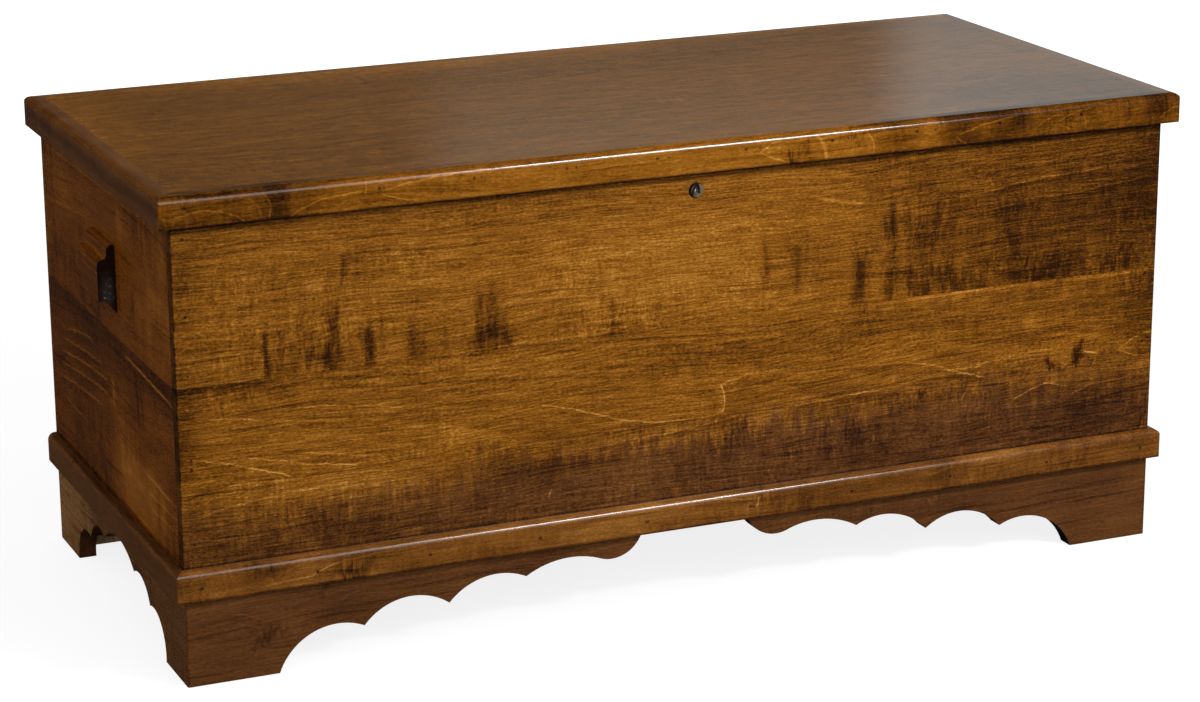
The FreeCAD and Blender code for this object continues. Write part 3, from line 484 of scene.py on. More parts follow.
# front panel: three boards, joints 207 and 311 mm above the floor
frontPanel = {
    "face": -0.2428, "joints": [0.207, 0.311], "tones": [0.53, 0.52, 0.57],
    "seed": (0.4, 0.2, 0.1), "edges": nodeEdges("front_panel"), "edgeTone": -0.26, "edgeWidth": 0.0022,
    "endGrain": 0.1,
    "look": {"speck": 1.2, "fine": 0.92, "line": 0.14, "streak": 0.3, "ripple": 0.52}, "specular": 0.3,
    "brown": [(-100, 132, 900, 58, 0.8), (340, 160, 300, 60, 0.8), (-60, 165, 300, 40, 0.35)],
    "nails": (-0.5444, 1.0888, 0.1497, 0.0776),
    # the broad darker spots towards the ends, mostly the right, are partly painted shade, where the light
    # falls off
    "figure": [
        {"band": (0.311, 0.4726), "spots": [
            (440, 390, 275, 150, 0.26, 0.1), (550, 430, 60, 70, 0.1), (-557, 400, 40, 160, 0.13, 0.1),
            (380, 462, 260, 12, 0.06, 0.2), (-50, 372, 130, 40, -0.11, 0.2), (-455, 330, 20, 20, -0.14, 0.2),
            (-200, 466, 110, 10, 0.12, 0.1), (-464, 333, 4, 30, 0.26), (-430, 322, 50, 16, 0.17, 0.5),
            (-440, 343, 34, 22, 0.12, 0.9), (-399, 328, 15, 22, 0.24, 0.1), (-394, 352, 10, 34, 0.17, 0.7),
            (-358, 331, 8, 26, 0.26, 0.2), (-311, 328, 11, 22, 0.15, 0.4), (-380, 412, 4, 30, 0.12),
            (-365, 415, 18, 22, 0.1, 0.9), (-228, 325, 25, 20, 0.29, 0.1), (-228, 350, 19, 34, 0.17, 0.9),
            (-275, 322, 22, 16, 0.12, 0.6), (-92, 326, 7, 24, 0.08, 0.1), (50, 395, 10, 20, 0.08, 0.6),
            (80, 362, 6, 40, 0.12, 0.3), (118, 372, 18, 40, 0.14, 0.6), (85, 319, 25, 10, 0.12, 0.4),
            (150, 362, 18, 20, 0.1, 0.7), (192, 337, 12, 36, 0.26, 0.3), (229, 392, 8, 26, 0.2, 0.1),
            (232, 332, 11, 30, 0.19, 0.4), (280, 324, 56, 17, 0.26, 0.2), (284, 408, 7, 22, 0.17, 0.1),
            (275, 375, 45, 50, 0.12, 0.9), (352, 428, 34, 3, 0.14), (440, 372, 110, 55, 0.12, 0.4),
            (420, 322, 130, 18, 0.18, 0.3), (412, 321, 22, 11, 0.14, 0.1), (512, 327, 27, 10, 0.17, 0.1),
            (520, 375, 70, 60, 0.06, 0.1), (555, 420, 40, 90, 0.12), (-320, 416, 45, 7, -0.12),
            (50, 351, 55, 5, -0.12), (-20, 362, 40, 4, -0.08)]},
        {"band": (0.207, 0.311), "spots": [
            (430, 282, 240, 34, 0.1, 0.1), (530, 265, 60, 60, 0.12, 0.1), (-557, 260, 35, 80, 0.12),
            (-290, 220, 60, 22, -0.16, 0.1), (20, 272, 80, 12, 0.1, 0.1), (-507, 304, 70, 10, 0.2, 0.2),
            (-550, 250, 16, 20, 0.12), (-547, 284, 9, 6, 0.17), (427, 215, 6, 8, 0.37),
            (460, 218, 6, 12, 0.37), (467, 233, 6, 8, 0.31), (445, 205, 13, 4, 0.29), (70, 232, 20, 10, 0.08),
            (200, 290, 22, 8, 0.12, 0.3), (300, 285, 260, 20, 0.06, 0.1), (550, 260, 30, 70, 0.12),
            (490, 213, 34, 6, 0.12, 0.2)]},
        {"band": (0.12, 0.207), "spots": [
            (520, 148, 120, 60, 0.22, 0.1), (290, 152, 180, 34, 0.08, 0.1), (-550, 165, 56, 60, 0.12, 0.1),
            (-440, 146, 120, 40, 0.12, 0.2), (0, 194, 150, 14, -0.18, 0.1), (0, 128, 1200, 12, 0.08, 0.1),
            (-370, 150, 45, 30, 0.17, 0.4), (-230, 158, 130, 38, 0.18, 0.6), (-235, 196, 50, 10, 0.12, 0.4),
            (-130, 180, 100, 20, 0.1, 0.5), (30, 180, 50, 24, 0.17, 0.4), (-10, 150, 34, 18, 0.12, 0.3),
            (180, 150, 60, 30, 0.1, 0.5), (268, 198, 9, 7, 0.29, 0.1), (300, 190, 70, 20, 0.12, 0.4),
            (370, 150, 230, 22, 0.12, 0.3), (-90, 150, 40, 16, -0.12, 0.1), (-414, 188, 190, 28, -0.16, 0.2),
            (-541, 185, 20, 30, 0.08, 0.1), (-166, 148, 2, 2, -0.44), (-494, 143, 3, 3, -0.24)]}],
    "rings": [
        {"band": (0.12, 0.207), "way": -1, "tip": (0.33, 0.188), "curve": 300, "gap": 0.31,
         "wander": 0.22, "light": 0.08, "rise": 0.05, "width": 0.0014},
        {"band": (0.207, 0.311), "way": 1, "tip": (0.2, 0.205), "curve": 70, "gap": 0.11,
         "wander": 0.16, "light": 0.04, "rise": 0.08, "width": 0.0012},
        {"band": (0.311, 0.4726), "way": 1, "tip": (-0.1, 0.424), "curve": 160, "gap": 0.3,
         "wander": 0.3, "light": 0.04, "rise": 0.05, "width": 0.0013}],
    "strokes": [
        (-548, 279, -466, 267, 2, 0.26, 0.05), (-470, 267, -335, 252, 0, 0.15, 0.04),
        (-435, 277, -372, 271, 1, 0.28, 0.06), (-378, 272, -300, 260, 0, 0.15, 0.03),
        (-556, 239, -478, 219, 2, 0.24, 0.05), (-490, 222, -439, 206, 1, 0.4, -0.06),
        (-505, 234, -426, 217, 2, 0.26, 0.04), (-436, 218, -368, 208, 1, 0.34, -0.08),
        (-437, 230, -358, 217, 1, 0.22), (-354, 221, -338, 208, 0, 0.16), (-343, 222, -330, 207, 0, 0.12),
        (-550, 174, -466, 188, 2, 0.2, 0.05), (-477, 187, -386, 192, 1, 0.15, 0.03),
        (-537, 191, -468, 203, 1, 0.15), (-558, 195, -498, 208, 1, -0.13), (-560, 162, -395, 172, 1, -0.12),
        (-232, 250, -165, 244, 1, 0.14), (-178, 247, -90, 220, 2, 0.34, 0.06),
        (-102, 223, -8, 208, -3, 0.34, 0.05), (-24, 209, 36, 213, -2, 0.24, 0.04),
        (-185, 187, -58, 196, 0, 0.11, 0.1), (-74, 195, 54, 206, -2, 0.2, 0.16),
        (-252, 182, -168, 186, 0, -0.11), (-242, 242, -148, 222, 1, -0.12),
        (27, 240, 62, 248, 1.5, 0.24, 0.04), (50, 248, 114, 249, 1, 0.13),
        (103, 243, 260, 239, 1, 0.18, 0.03), (246, 239, 304, 224, 1.5, 0.24, 0.06),
        (294, 225, 352, 208, 0.5, 0.34, 0.1), (290, 226, 344, 224, -2, 0.36), (332, 225, 402, 230, 1, 0.22),
        (390, 230, 457, 232, 1, 0.14), (184, 211, 264, 217, -1, 0.24, 0.12),
        (252, 216, 340, 215, 3, 0.18, 0.12), (106, 206, 208, 212, 1, 0.27, 0.1),
        (512, 219, 566, 236, 7, 0.34, -0.05), (512, 221, 542, 211, -1, 0.32, 0.06),
        (462, 227, 492, 218, 0, 0.34), (378, 178, 426, 195, 1, 0.42, 0.1), (418, 194, 442, 189, 1, 0.4, 0.06),
        (453, 175, 478, 184, 1, 0.34, 0.05), (468, 184, 534, 187, 1, 0.18, 0.03),
        (200, 182, 264, 190, -1, 0.06, 0.12), (440, 162, 562, 179, -1, -0.16, 0.06),
        (370, 173, 454, 171, 0, 0.13), (-474, 297, -178, 275, 1, -0.12), (-192, 276, 32, 268, -2, -0.12),
        (16, 269, 292, 262, 1, -0.11), (-194, 310, 152, 287, 2, -0.12), (286, 263, 566, 254, -2, -0.11),
        (-556, 462, -383, 443, -2, -0.13), (-400, 443, -86, 448, -2, -0.13),
        (-518, 428, -368, 411, -1, -0.11), (-556, 375, -426, 364, 0, 0.1), (-444, 364, -176, 357, 0, 0.09),
        (138, 431, 200, 418, 0, 0.18, 0, 2.6), (266, 411, 354, 418, 0, 0.18, 0.06),
        (342, 416, 394, 424, 1, 0.18, 0.14), (382, 423, 504, 429, 1, 0.2, 0.12),
        (336, 396, 452, 405, 0, 0.08, 0.1), (440, 404, 566, 416, 0, 0.2, 0.12),
        (230, 309, 590, 308, 0, 0.19, 0, 3), (-600, 311, -440, 311, 0, -0.03, 0.22, 1.6),
        (418, 222, 433, 211, 0, -0.23, 0, 6), (430, 211, 448, 206, -1, -0.16, 0, 5),
        (446, 208, 464, 216, 1, -0.21, 0, 5), (436, 217, 458, 213, -2, 0.24, 0, 1.6),
        (536, 214, 566, 214, 0, -0.13, 0, 3)],
    # painted shadow under the lid's overhang, and painted shade in the crease above the moulding
    "seams": [(0.4714, -0.5, 0.0026), (0.125, -0.32, 0.0026)],
    "uprights": [
        (308, -464, 362, -465, 0, -0.2, 0, 4.6), (310, -452, 345, -451, 1, -0.12, 0, 5.8),
        (308, -436, 350, -437, -1, -0.11, 0, 6.9), (312, -420, 352, -421, 1, -0.11, 0, 5.8),
        (308, -402, 372, -396, 1, -0.2, 0, 8), (314, -389, 384, -391, 0, -0.13, 0, 4.6),
        (306, -356, 352, -358, 1, -0.21, 0, 8), (314, -343, 360, -344, 0, -0.1, 0, 4.6),
        (310, -312, 352, -312, 0, -0.14, 0, 5.8), (312, -300, 345, -299, 0, -0.1, 0, 4.6),
        (396, -384, 432, -381, 0, -0.13, 0, 4), (398, -368, 430, -366, 0, -0.12, 0, 4),
        (308, -240, 378, -238, 0, -0.18, 0, 8), (308, -225, 388, -226, 0, -0.19, 0, 9.2),
        (312, -211, 356, -213, 0, -0.13, 0, 6.9), (310, -276, 346, -277, 0, -0.12, 0, 6.9),
        (308, -92, 352, -94, 0, -0.13, 0, 5.8), (345, 82, 392, 79, 0, -0.12, 0, 4.6),
        (328, 118, 386, 116, 0, -0.12, 0, 5.8), (308, 193, 362, 191, 0, -0.14, 0, 8),
        (376, 229, 418, 230, 0, -0.13, 0, 4.6), (312, 250, 352, 252, 0, -0.11, 0, 6.9),
        (388, 285, 424, 284, 0, -0.11, 0, 4.6), (210, 31, 244, 29, 4, 0.4, -0.1),
        (206, 480, 220, 487, 0, 0.21), (212, 460, 242, 469, -2, -0.26, 0, 5),
        (226, 478, 238, 484, 1, -0.16, 0, 3), (187, 317, 203, 327, 0, 0.3)],
}
finishWood("front_panel", frontPanel, "frontPanelWood")
print("front panel finished")

# side and back panels
sidePanel = {
    "axes": "yzx", "joints": [0.308], "tones": [0.5, 0.58], "stain": redStain,
    "look": {"curl": 0.26, "blotch": 0.3, "ripple": 0.34, "speck": 0.5, "fine": 0.22, "streak": 0.14},
    "face": -0.557, "specular": 0.3,
    "figure": [{"band": (0.1, 0.308), "spots": [
        (0, 302, 600, 22, 0.2), (-130, 150, 140, 60, -0.34, 0.2), (-40, 195, 45, 60, -0.18, 0.5),
        (-190, 245, 70, 30, -0.12, 0.5), (110, 270, 170, 40, 0.1, 0.1), (140, 150, 120, 40, 0.06, 0.2),
        (-102, 258, 5, 30, 0.24), (-116, 262, 4, 28, 0.18), (-90, 250, 30, 30, 0.08, 0.8),
        (-5, 240, 12, 20, -0.14, 0.2)]},
        {"band": (0.308, 0.4726), "spots": [
            (-200, 400, 60, 90, -0.2, 0.4), (-150, 365, 100, 60, -0.1, 0.9), (-100, 355, 6, 16, 0.2),
            (-185, 350, 22, 26, 0.14, 0.2), (90, 345, 90, 30, 0.08, 0.2), (-60, 435, 12, 18, -0.16, 0.1),
            (180, 430, 70, 50, -0.1, 0.2), (140, 350, 30, 20, -0.08, 0.7)]}],
    "rings": [{"band": (0.1, 0.308), "way": 1, "tip": (0.05, 0.2), "curve": 60, "gap": 0.12,
               "wander": 0.1, "light": 0.08, "rise": 0.06}],
    "strokes": [
        (-46, 297, -246, 288, 1, 0.55, 0, 3), (180, 262, 60, 279, 3, 0.34, 0.08, 2),
        (205, 246, 20, 262, 3, 0.32, 0.08, 2), (215, 230, 0, 250, 3, 0.34, 0.08, 2),
        (220, 216, 0, 236, 2, 0.32, 0.08, 2), (225, 200, 20, 216, 2, 0.34, 0.08, 2),
        (200, 182, 90, 178, -2, 0.28, 0.06, 2), (-100, 190, -235, 184, 0, 0.28, 0.04, 2),
        (-120, 170, -240, 172, 0, 0.2, 0.04, 2), (-130, 154, -240, 158, 0, 0.18, 0.04, 2),
        (170, 402, 70, 412, 1, 0.16, 0.05), (240, 396, 150, 404, 1, 0.18, 0.04, 2),
        (240, 456, -190, 458, 2, 0.2, 0.04, 2)],
    # painted shade in the crease above the side moulding
    "seams": [(0.1262, -0.3, 0.0045)],
    "uprights": [
        (322, -60, 440, -56, 2, 0.1, -0.05), (330, -84, 420, -80, -2, -0.14), (340, -120, 440, -128, 2, 0.12),
        (330, -160, 450, -166, 2, 0.14, -0.04), (400, -184, 448, -176, 1, -0.16),
        (225, -10, 258, -8, 0, 0.16, 0, 4), (340, 110, 400, 128, 2, 0.12, 0.04)],
}
for node, seed in (("left_side_panel", (5.3, 0.7, 0.2)), ("right_side_panel", (8.1, 1.4, 0.6))):
    finishWood(node, sidePanel, seed=seed, edges=nodeEdges(node))
backPanel = {
    "joints": [0.215, 0.335], "tones": [0.54, 0.6, 0.56], "seed": (12.6, 2.2, 0.4),
    "look": {"curl": 0.14}, "edges": nodeEdges("back_panel"),
    "rings": [{"band": (0.215, 0.335), "way": -1, "tip": (0.1, 0.27), "curve": 90, "gap": 0.24,
               "wander": 0.15, "light": 0.16, "rise": 0.06}],
}
finishWood("back_panel", backPanel, "backPanelWood")
print("sides and back finished")

# lid board and the strips round it
lidPanel = {
    "axes": "xyz", "joints": [-0.075, 0.105], "tones": [0.45, 0.46, 0.44], "seed": (20.1, 3.1, 0.5),
    "look": {"curl": 0.05, "fine": 0.75, "speck": 0.6, "streak": 0.14, "blotch": 0.1, "line": 0.08},
    "roughness": 0.08, "face": 0.5064,
    "figure": [{"band": (-0.3, 0.3), "spots": [
        (480, -200, 160, 120, 0.12), (-150, 240, 420, 50, -0.2, 0.1), (-560, 150, 60, 200, -0.1)]}],
    "rings": [{"band": (-0.3, -0.075), "way": 1, "tip": (-0.1, -0.16), "curve": 60, "gap": 0.3,
               "wander": 0.14, "light": 0.1, "rise": 0.05}],
}
finishWood("lid_panel", lidPanel, "lidPanelWood")
lidStrip = {
    "tones": [0.6], "seed": (26.4, 3.9, 0.3), "roughness": 0.16,
    "look": {"curl": 0.16, "speck": 0.75, "fine": 0.5, "ripple": 0.25, "blotch": 0.4},
}
lidFront = {
    "nails": (-0.5456, 0.0992, 0.4944, 9),
    # the broad darker spots at both ends are partly painted shade, where the light falls off
    "figure": [{"band": (0.47, 0.51), "spots": [
        (335, 490, 55, 60, 0.38, 0.1), (225, 486, 40, 50, 0.26, 0.2), (295, 495, 30, 50, 0.22, 0.2),
        (100, 480, 8, 8, 0.34, 0.1), (520, 490, 60, 50, -0.1, 0.1), (-300, 486, 70, 30, 0.1, 0.2),
        (-530, 490, 120, 60, 0.2, 0.1), (-454, 490, 22, 50, 0.18, 0.4), (-390, 490, 100, 60, 0.07, 0.2),
        (174, 499, 16, 4, 0.18, 0.1), (120, 483, 10, 12, 0.18, 0.2), (146, 490, 30, 12, -0.1, 0.5),
        (276, 499, 10, 4, 0.12), (375, 496, 14, 10, 0.16, 0.3), (480, 490, 170, 60, 0.28, 0.1),
        (560, 490, 90, 60, 0.12, 0.1), (255, 490, 22, 20, -0.1, 0.1), (330, 492, 22, 16, -0.14, 0.1),
        (80, 490, 14, 12, -0.12, 0.1), (434, 487, 8, 8, 0.12, 0.1)]}],
    "strokes": [
        (-560, 483, -506, 487, 4, 0.21, -0.04), (-512, 488, -482, 474, 2, 0.22, 0.05),
        (-442, 474, -398, 490, 3, 0.26, 0.06), (-404, 489, -360, 493, 0.5, 0.27, 0.05),
        (-349, 491, -262, 501, 2, 0.27, -0.04), (-349, 490, -302, 477, -2, 0.27, 0.05),
        (64, 489, 92, 500, 2, 0.24, -0.05), (64, 490, 100, 476, -1, 0.24, 0.05),
        (292, 484, 370, 500, 3, 0.29, -0.04), (293, 485, 310, 474, -1, 0.29, 0.05),
        (388, 482, 430, 499, 3, 0.18, 0.05), (416, 488, 460, 500, 3, 0.21, 0.05),
        (416, 489, 436, 478, -1, 0.19, 0.04), (544, 480, 572, 491, 4, 0.24, 0.04)],
    # painted shade along the strip's lower edge and along its top rounded edge
    "seams": [(0.475, -0.26, 0.0016), (0.5064, -0.13, 0.0085)],
    "uprights": [
        (474, -461, 502, -466, 4, 0.21, -0.06), (474, -470, 502, -484, 6, 0.12, -0.06),
        (489, -362, 503, -361, 1, 0.24), (474, 196, 502, 186, 6, 0.24, -0.04),
        (474, 142, 502, 130, 3, 0.21, 0, 3), (478, 452, 496, 449, 2, 0.18, -0.05)],
}
finishWood("lid_edge_front", lidStrip, "lidFrontWood", **lidFront)
finishWood("lid_edge_back", lidStrip, "lidBackWood", seed=(31.2, 4.4, 0.8))
for node, seed in (("lid_edge_left", (36.5, 5.2, 0.4)), ("lid_edge_right", (41.9, 6, 0.7))):
    finishWood(node, lidStrip, axes="yzx", seed=seed, tones=[0.66], stain=brownStain,
               # painted shade in a band along the middle of the outer face
               seams=[(0.49, -0.14, 0.009)],
               look={"curl": 0.2, "speck": 0.15, "fine": 0.14, "ripple": 0.14, "blotch": 0.4})
print("lid finished")

# base moulding
moulding = {
    "tones": [0.57], "seed": (47.7, 6.6, 0.5), "roughness": 0.19,
    "look": {"curl": 0.14, "blotch": 0.75, "fine": 0.45},
}
mouldingFront = {
    "nails": (-0.5414, 0.12031, 0.1063, 9), "brown": [(0, 108, 9000, 9000, 0.6)],
    "figure": [{"band": (0.09, 0.13), "spots": [
        (-482, 108, 14, 50, 0.12, 0.1), (-382, 101, 16, 8, 0.28, 0.1), (-470, 119, 24, 4, 0.2, 0.2),
        (-250, 100, 40, 10, 0.08, 0.3), (140, 104, 75, 20, 0.08, 0.3), (71.5, 117, 3, 5, 0.26),
        (292, 108, 20, 30, 0.14, 0.2), (-530, 108, 35, 30, -0.06, 0.2), (350, 108, 40, 30, -0.06, 0.2),
        (480, 108, 110, 30, 0.12, 0.1), (-385, 102, 40, 16, 0.22, 0.1), (-440, 110, 30, 30, -0.1, 0.1),
        (60, 112, 40, 12, -0.12, 0.1), (330, 98, 80, 10, 0.12, 0.1), (-170, 112, 80, 16, -0.08, 0.1)]}],
    "strokes": [
        (-482, 98, -424, 102, 1, 0.22, 0.03), (-430, 102, -398, 113, 1, 0.3, 0.05),
        (-404, 112, -356, 117, 0.5, 0.24, 0.03), (-464, 105, -436, 116, 2, 0.16, 0.03),
        (-10, 121, 70, 113, 1, 0.22, 0.03), (270, 111, 310, 119, 0, 0.16, 0.04)],
    # painted shade along the moulding's lower edge, above the skirt
    "seams": [(0.0934, -0.3, 0.002)],
    "uprights": [(104, 67, 116, 70, 1, 0.3)],
}
finishWood("base_moulding_front", moulding, "frontMouldingWood", **mouldingFront)
for node, seed in (("base_moulding_left", (52.3, 7.1, 0.2)), ("base_moulding_right", (57.8, 7.9, 0.9))):
    finishWood(node, moulding, axes="yzx", seed=seed, tones=[0.62], stain=brownStain,
               # painted shade along the top, in the crease against the side panel
               seams=[(0.124, -0.3, 0.0035)], look={"speck": 0.5, "fine": 0.4})
print("base moulding finished")

# skirt
skirt = {
    "tones": [0.47], "stain": brownStain, "endGrain": 0.4,
    "look": {"curl": 0.08, "blotch": 0.45, "streak": 0.18, "fine": 0.42},
    "figure": [{"band": (0, 0.1), "spots": [
        (-472, 45, 8, 6, 0.14), (-479, 40, 12, 6, 0.22, 0.1), (-462, 50, 12, 5, 0.2, 0.1),
        (-410, 92, 12, 8, 0.2, 0.1), (281, 71, 6, 4, -0.2)]}],
    "strokes": [
        (-512, 70, -478, 58, 4, 0.16, 0.04), (-506, 58, -480, 50, 3, 0.14, 0.04),
        (-462, 46, -418, 52, 3, 0.14, 0.03), (-460, 38, -420, 40, 1, 0.1, 0.03),
        (-452, 70, -380, 78, 2, 0.1, 0.03), (-395, 66, -372, 74, 4, 0.16, 0.03)],
    # painted shade along the top, under the moulding, and a band of painted light just below it
    "seams": [(0.0996, -0.26, 0.0022), (0.087, 0.13, 0.011)],
}
for node, seed in (("skirt_front_left", (63.1, 8.3, 0.3)), ("skirt_front_right", (68.4, 9, 0.6))):
    finishWood(node, skirt, seed=seed, edges=nodeEdges(node))
finishWood("skirt_back", skirt, "skirtBackWood", seed=(73.2, 9.9, 0.1), figure=[])
for node, seed in (("skirt_left", (78.6, 10.4, 0.7)), ("skirt_right", (83.3, 11.1, 0.2))):
    finishWood(node, skirt, axes="yzx", seed=seed, tones=[0.72], edges=nodeEdges(node),
               face=nodeEdges(node)[0][0],
               figure=[{"band": (0, 0.1), "spots": [(200, 50, 110, 100, -0.26)]}],
               look={"streak": 0.15, "fine": 0.2, "speck": 0.3, "blotch": 0.25})
print("skirt finished")

# handles
handle = {
    "axes": "yzx", "tones": [0.44], "stain": redStain, "endGrain": 0.42, "roughness": 0.24,
    "look": {"curl": 0.1, "blotch": 0.3, "speck": 0.5, "fine": 0.4},
    # the light lines along the handle's moulded top are painted highlights
    "strokes": [
        (2000, 380, -2000, 380, 0, 0.26, 0, 1.8), (2000, 388, -2000, 388, 0, 0.24, 0, 1.6),
        (45, 396, -45, 395, 0, 0.2, 0.04, 1.6), (45, 403, -45, 404, 0, 0.16, 0.04, 1.4)],
}
# where the painted sheen and painted shade sit on each handle's end
bloomPlan = {"height": 0.357, "reach": (0.009, 0.02, 0.026)}
for node, seed in (("handle_left", (88.8, 11.9, 0.5)), ("handle_right", (93.1, 12.2, 0.9))):
    low, high = nodeEdges(node)
    middle = ((low[0] + high[0]) / 2, low[1], bloomPlan["height"])
    finishWood(node, handle, seed=seed, edges=[low, high],
               bloom={"middle": middle, "reach": bloomPlan["reach"]})

# unstained pieces inside
insideBoard = {
    "axes": "xyz", "joints": [-0.08, 0.07], "tones": [0.52, 0.58, 0.5], "seed": (97.4, 12.8, 0.3),
    "stain": bareMaple, "look": {"curl": 0.06, "fleck": 0.08}, "endGrain": 0.15, "roughness": 0.5,
}
finishWood("bottom_panel", insideBoard, "bottomWood")
finishWood("bottom_cleats", insideBoard, "cleatWood", joints=[], tones=[0.5])
finishWood("corner_blocks", insideBoard, "blockWood", axes="zxy", joints=[], tones=[0.48])
print("handles and inside finished")


# metal, plastic and felt
def buildScuff(tree, given):
    return {"Cloud": noise(tree, given["Vector"], "cloud"), "Scratch": mask(tree, given["Vector"], "scratch")}


scuffGroup = makeGroup("metalScuff", ["Vector"], [], buildScuff)
scuffMarks = {"cloudFade": (0.3, 0.7), "roughness": 0.2, "relief": 0.08, "reliefDepth": 0.0002}


def wornMetal(name, plan):
    material, tree, shader = newMaterial(name)
    scuff = useGroup(tree, scuffGroup, {"Vector": addNode(tree, "TexCoord").outputs["Object"]})
    stops = list(zip(scuffMarks["cloudFade"], (plan["dark"], plan["light"])))
    tree.links.new(colourRamp(tree, scuff["Cloud"], stops), shader.inputs["Base Color"])
    rough = timesPlus(tree, scuff["Scratch"], scuffMarks["roughness"], plan["roughness"])
    tree.links.new(rough, shader.inputs["Roughness"])
    bump = addNode(tree, "Bump", {
        "Height": scuff["Scratch"], "Strength": scuffMarks["relief"], "Distance": scuffMarks["reliefDepth"]})
    tree.links.new(bump.outputs[0], shader.inputs["Normal"])
    shader.inputs["Metallic"].default_value = plan["metallic"]
    return material


metals = {
    "satinNickel": {
        "dark": paint(120, 116, 106), "light": paint(168, 164, 150), "roughness": 0.32, "metallic": 1,
        "pieces": ["lock_nut", "lock_cam", "lock_strike"]},
    "hingeSteel": {
        "dark": paint(104, 98, 90), "light": paint(146, 138, 126), "roughness": 0.34, "metallic": 1,
        "pieces": ["hinge_case_leaves", "hinge_lid_leaves", "hinge_pins"]},
    "dullSteel": {
        "dark": paint(84, 78, 72), "light": paint(122, 116, 106), "roughness": 0.42, "metallic": 1,
        "pieces": ["hinge_case_screws", "hinge_lid_screws", "handle_screws", "lock_strike_screws",
                   "lock_cam_screw"]},
    "filledBrad": {
        "dark": paint(18, 8, 2), "light": paint(40, 20, 8), "roughness": 0.5, "metallic": 0,
        "pieces": ["lid_edge_brads", "base_moulding_brads", "front_panel_brads"]},
    "sleevePlastic": {
        "dark": paint(196, 192, 182), "light": paint(214, 211, 202), "roughness": 0.5, "metallic": 0,
        "pieces": ["hinge_friction_sleeves"]},
    "feltPad": {
        "dark": paint(44, 34, 26), "light": paint(70, 56, 44), "roughness": 0.75, "metallic": 0,
        "pieces": ["lid_bumpers"]},
}
for name, plan in metals.items():
    metal = wornMetal(name, plan)
    for node in plan["pieces"]:
        finishNode(node, metal)

lockLook = {
    "middle": (0, -0.2448, 0.454), "dark": paint(82, 72, 64), "light": paint(122, 108, 94),
    "roughness": 0.34, "metallic": 0.55,
    "rim": 0.0069, "lean": 0.35, "rimShift": -0.16, "rimFade": 0.0004,   # the painted shade round the rim is wider at the upper left
    # painted shadow in an arch over the keyway, in millimetres: height, across, to height, across, bow, width
    "arch": [(-7.5, -6, 8, 0.8, -1, 2.6), (8.5, 0.2, -4.5, 2.6, 0.6, 2.2)],
    "paintedShade": paint(20, 7, 3), "archDepth": 1.8,
    "litRight": paint(148, 130, 104), "litRightFade": (-0.004, 0.004, 0, 0.8),   # painted light: paler to the right
    "glint": paint(206, 214, 190), "glintPlace": (-0.001, -0.2448, 0.454), "glintReach": 0.0026,
}
plugColours = {"dark": paint(78, 82, 66), "light": paint(104, 108, 88)}


def lockFace(name, plan):
    # metal with painted shade round the rim and a painted shadow in an arch over the keyway, painted light to
    # the right and a painted glint
    material = wornMetal(name, plan)
    tree = material.node_tree
    shader = tree.nodes["Principled BSDF"]
    place = addNode(tree, "TexCoord").outputs["Object"]

    def awayFrom(point):
        apart = vectorCalc(tree, "MULTIPLY", vectorCalc(tree, "SUBTRACT", place, point), (1, 0, 1))
        return vectorCalc(tree, "LENGTH", apart)

    radius = awayFrom(plan["middle"])
    spots = split(tree, place)
    rise = minus(tree, spots[2], plan["middle"][2])
    toUpperLeft = minus(tree, times(tree, rise, plan["lean"]), spots[0])
    inner = timesPlus(tree, toUpperLeft, plan["rimShift"], plan["rim"])
    rimShade = fade(tree, minus(tree, radius, inner), -plan["rimFade"], plan["rimFade"])
    paintedShade = 0
    for low, left, high, right, bow, width in plan["arch"]:
        paintedShade = useGroup(tree, strokeGroup, {
            "Along": rise, "Across": spots[0], "Start": (low / 1000, left / 1000, 0),
            "End": (high / 1000, right / 1000, 0), "Bow": bow / 1000, "Width": width / 1000, "Light": 1,
            "Before": paintedShade})["Tone"]
    glint = fade(tree, awayFrom(plan["glintPlace"]), plan["glintReach"], 0)
    colour = shader.inputs["Base Color"].links[0].from_socket
    colour = blendColour(tree, fade(tree, spots[0], *plan["litRightFade"]), colour, plan["litRight"])
    colour = blendColour(tree, glint, colour, plan["glint"])
    paintedShade = times(tree, paintedShade, plan["archDepth"])
    dark = addNode(tree, "Math", {0: paintedShade, 1: rimShade}, operation="MAXIMUM", use_clamp=True).outputs[0]
    tree.links.new(blendColour(tree, dark, colour, plan["paintedShade"]), shader.inputs["Base Color"])
    dulled = times(tree, dark, plan["metallic"])
    tree.links.new(minus(tree, plan["metallic"], dulled), shader.inputs["Metallic"])
    return material


finishNode("lock_rim", lockFace("lockRimMetal", lockLook))
finishNode("lock_plug", lockFace("lockPlugMetal", dict(lockLook, **plugColours)))
print("metal, plastic and felt finished")

# world: white to the camera; the diffuse light comes mostly from the front right and from the left, and
# what is mirrored is a dim room with two pale reflectors behind
room = {
    "ambient": 0.36,
    # broad sources of diffuse light: direction, where it fades in as a cosine, strength
    "sources": [((0.42, -0.86, 0.28), 0.1, 0.76), ((-0.96, -0.2, 0.2), 0.2, 0.66),
                ((0.2, 0.95, -0.1), 0.3, 0.3)],
    # what is mirrored; angles are in degrees, round from behind towards the right or above the horizon
    "dim": 0.004, "glow": 0.12, "glowEdge": (5, 28), "sidePanel": 0.26, "sideEdge": (28, 29.2),
    "upperPanel": 0.17, "upperEdge": (19.8, 21.4), "upperFoot": (11.6, 12.8),
    "farEdge": (70, 100), "top": (20, 34),
    "tintEdge": (27, 29.5), "warm": (1, 0.98, 0.8, 1), "cool": (0.86, 1.01, 1.02, 1),
}
world = bpy.data.worlds.new("room")
bpy.context.scene.world = world
world.use_nodes = True
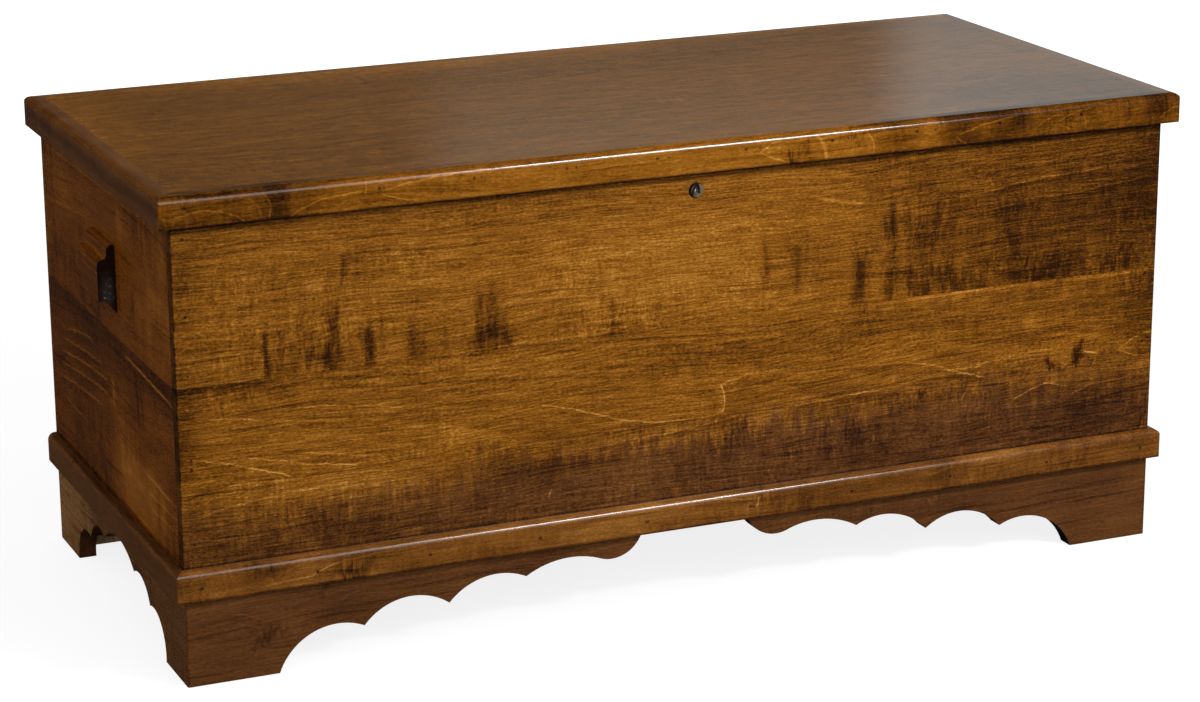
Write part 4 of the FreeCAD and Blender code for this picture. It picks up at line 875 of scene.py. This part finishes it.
world.cycles.sampling_method = "NONE"   # keeps the mirrored room apart from the diffuse light
tree = world.node_tree
background = tree.nodes["Background"]
rays = addNode(tree, "LightPath").outputs
toward = addNode(tree, "TexCoord").outputs["Generated"]
heading = split(tree, toward)
azimuth = calc(tree, "ARCTAN2", heading[0], heading[1])


def aimed(edge):
    low, high = room[edge]
    return fade(tree, azimuth, math.radians(low), math.radians(high))


def raised(edge):
    low, high = room[edge]
    return fade(tree, heading[2], math.sin(math.radians(low)), math.sin(math.radians(high)))


diffuse = room["ambient"]
for direction, start, amount in room["sources"]:
    facing = fade(tree, vectorCalc(tree, "DOT_PRODUCT", toward, direction), start, 1)
    diffuse = timesPlus(tree, facing, amount, diffuse)
belowTop = minus(tree, 1, raised("top"))
glow = times(tree, aimed("glowEdge"), room["glow"])
glow = timesPlus(tree, aimed("sideEdge"), room["sidePanel"], glow)
upper = times(tree, aimed("upperEdge"), raised("upperFoot"))
glow = timesPlus(tree, upper, room["upperPanel"], glow)
glow = times(tree, glow, minus(tree, 1, aimed("farEdge")))
mirror = timesPlus(tree, glow, belowTop, room["dim"])
mirrored = calc(tree, "MAXIMUM", rays["Is Glossy Ray"], rays["Is Transmission Ray"])
strength = timesPlus(tree, mirrored, minus(tree, mirror, diffuse), diffuse)
strength = calc(tree, "MAXIMUM", strength, rays["Is Camera Ray"])
tree.links.new(strength, background.inputs["Strength"])
tint = blendColour(tree, aimed("tintEdge"), room["warm"], room["cool"])
tree.links.new(blendColour(tree, mirrored, (1, 1, 1, 1), tint), background.inputs["Color"])

# lamps, tipped only about x so that the long side lies along the chest
lamps = {
    "keyStrip": {"place": (0.75, -1.62, 1.42), "tip": 57, "size": (0.66, 0.2), "power": 24},
    "fillPanel": {"place": (0.9, -4.2, 2.6), "tip": 60, "size": (3.4, 2.2), "power": 60},
}
for name, plan in lamps.items():
    lampData = bpy.data.lights.new(name, "AREA")
    lampData.shape = "RECTANGLE"
    lampData.size, lampData.size_y = plan["size"]
    lampData.energy = plan["power"]
    lamp = bpy.data.objects.new(name, lampData)
    lamp.location = plan["place"]
    lamp.rotation_euler = (math.radians(plan["tip"]), 0, 0)
    bpy.context.scene.collection.objects.link(lamp)

# floor: near white to the camera, dark to the light that it would bounce back
floorLook = {
    "size": 60, "roughness": 0.9, "specular": 0.1,
    "bounced": (0.015, 0.015, 0.015, 1), "seen": (0.22, 0.22, 0.22, 1),
    "glow": (1.2, 3, 0.84, 1.2),   # near and far from the middle, and how bright there
    "mirroredGlow": 0.01,
}
bpy.ops.mesh.primitive_plane_add(size=floorLook["size"], location=(0, 0, 0))
floor = bpy.context.active_object
floor.name = "floor"
floorPaint, tree, shader = newMaterial("floorPaint")
shader.inputs["Roughness"].default_value = floorLook["roughness"]
shader.inputs["Specular IOR Level"].default_value = floorLook["specular"]
shader.inputs["Emission Color"].default_value = (1, 1, 1, 1)
rays = addNode(tree, "LightPath").outputs
colour = blendColour(tree, rays["Is Camera Ray"], floorLook["bounced"], floorLook["seen"])
tree.links.new(colour, shader.inputs["Base Color"])
dimmed = times(tree, rays["Is Glossy Ray"], floorLook["mirroredGlow"])
seen = calc(tree, "MAXIMUM", rays["Is Camera Ray"], dimmed)
away = vectorCalc(tree, "LENGTH", addNode(tree, "NewGeometry").outputs["Position"])
far = fade(tree, away, *floorLook["glow"])
tree.links.new(times(tree, seen, far), shader.inputs["Emission Strength"])
floor.data.materials.append(floorPaint)
print("room, lamps and floor set")
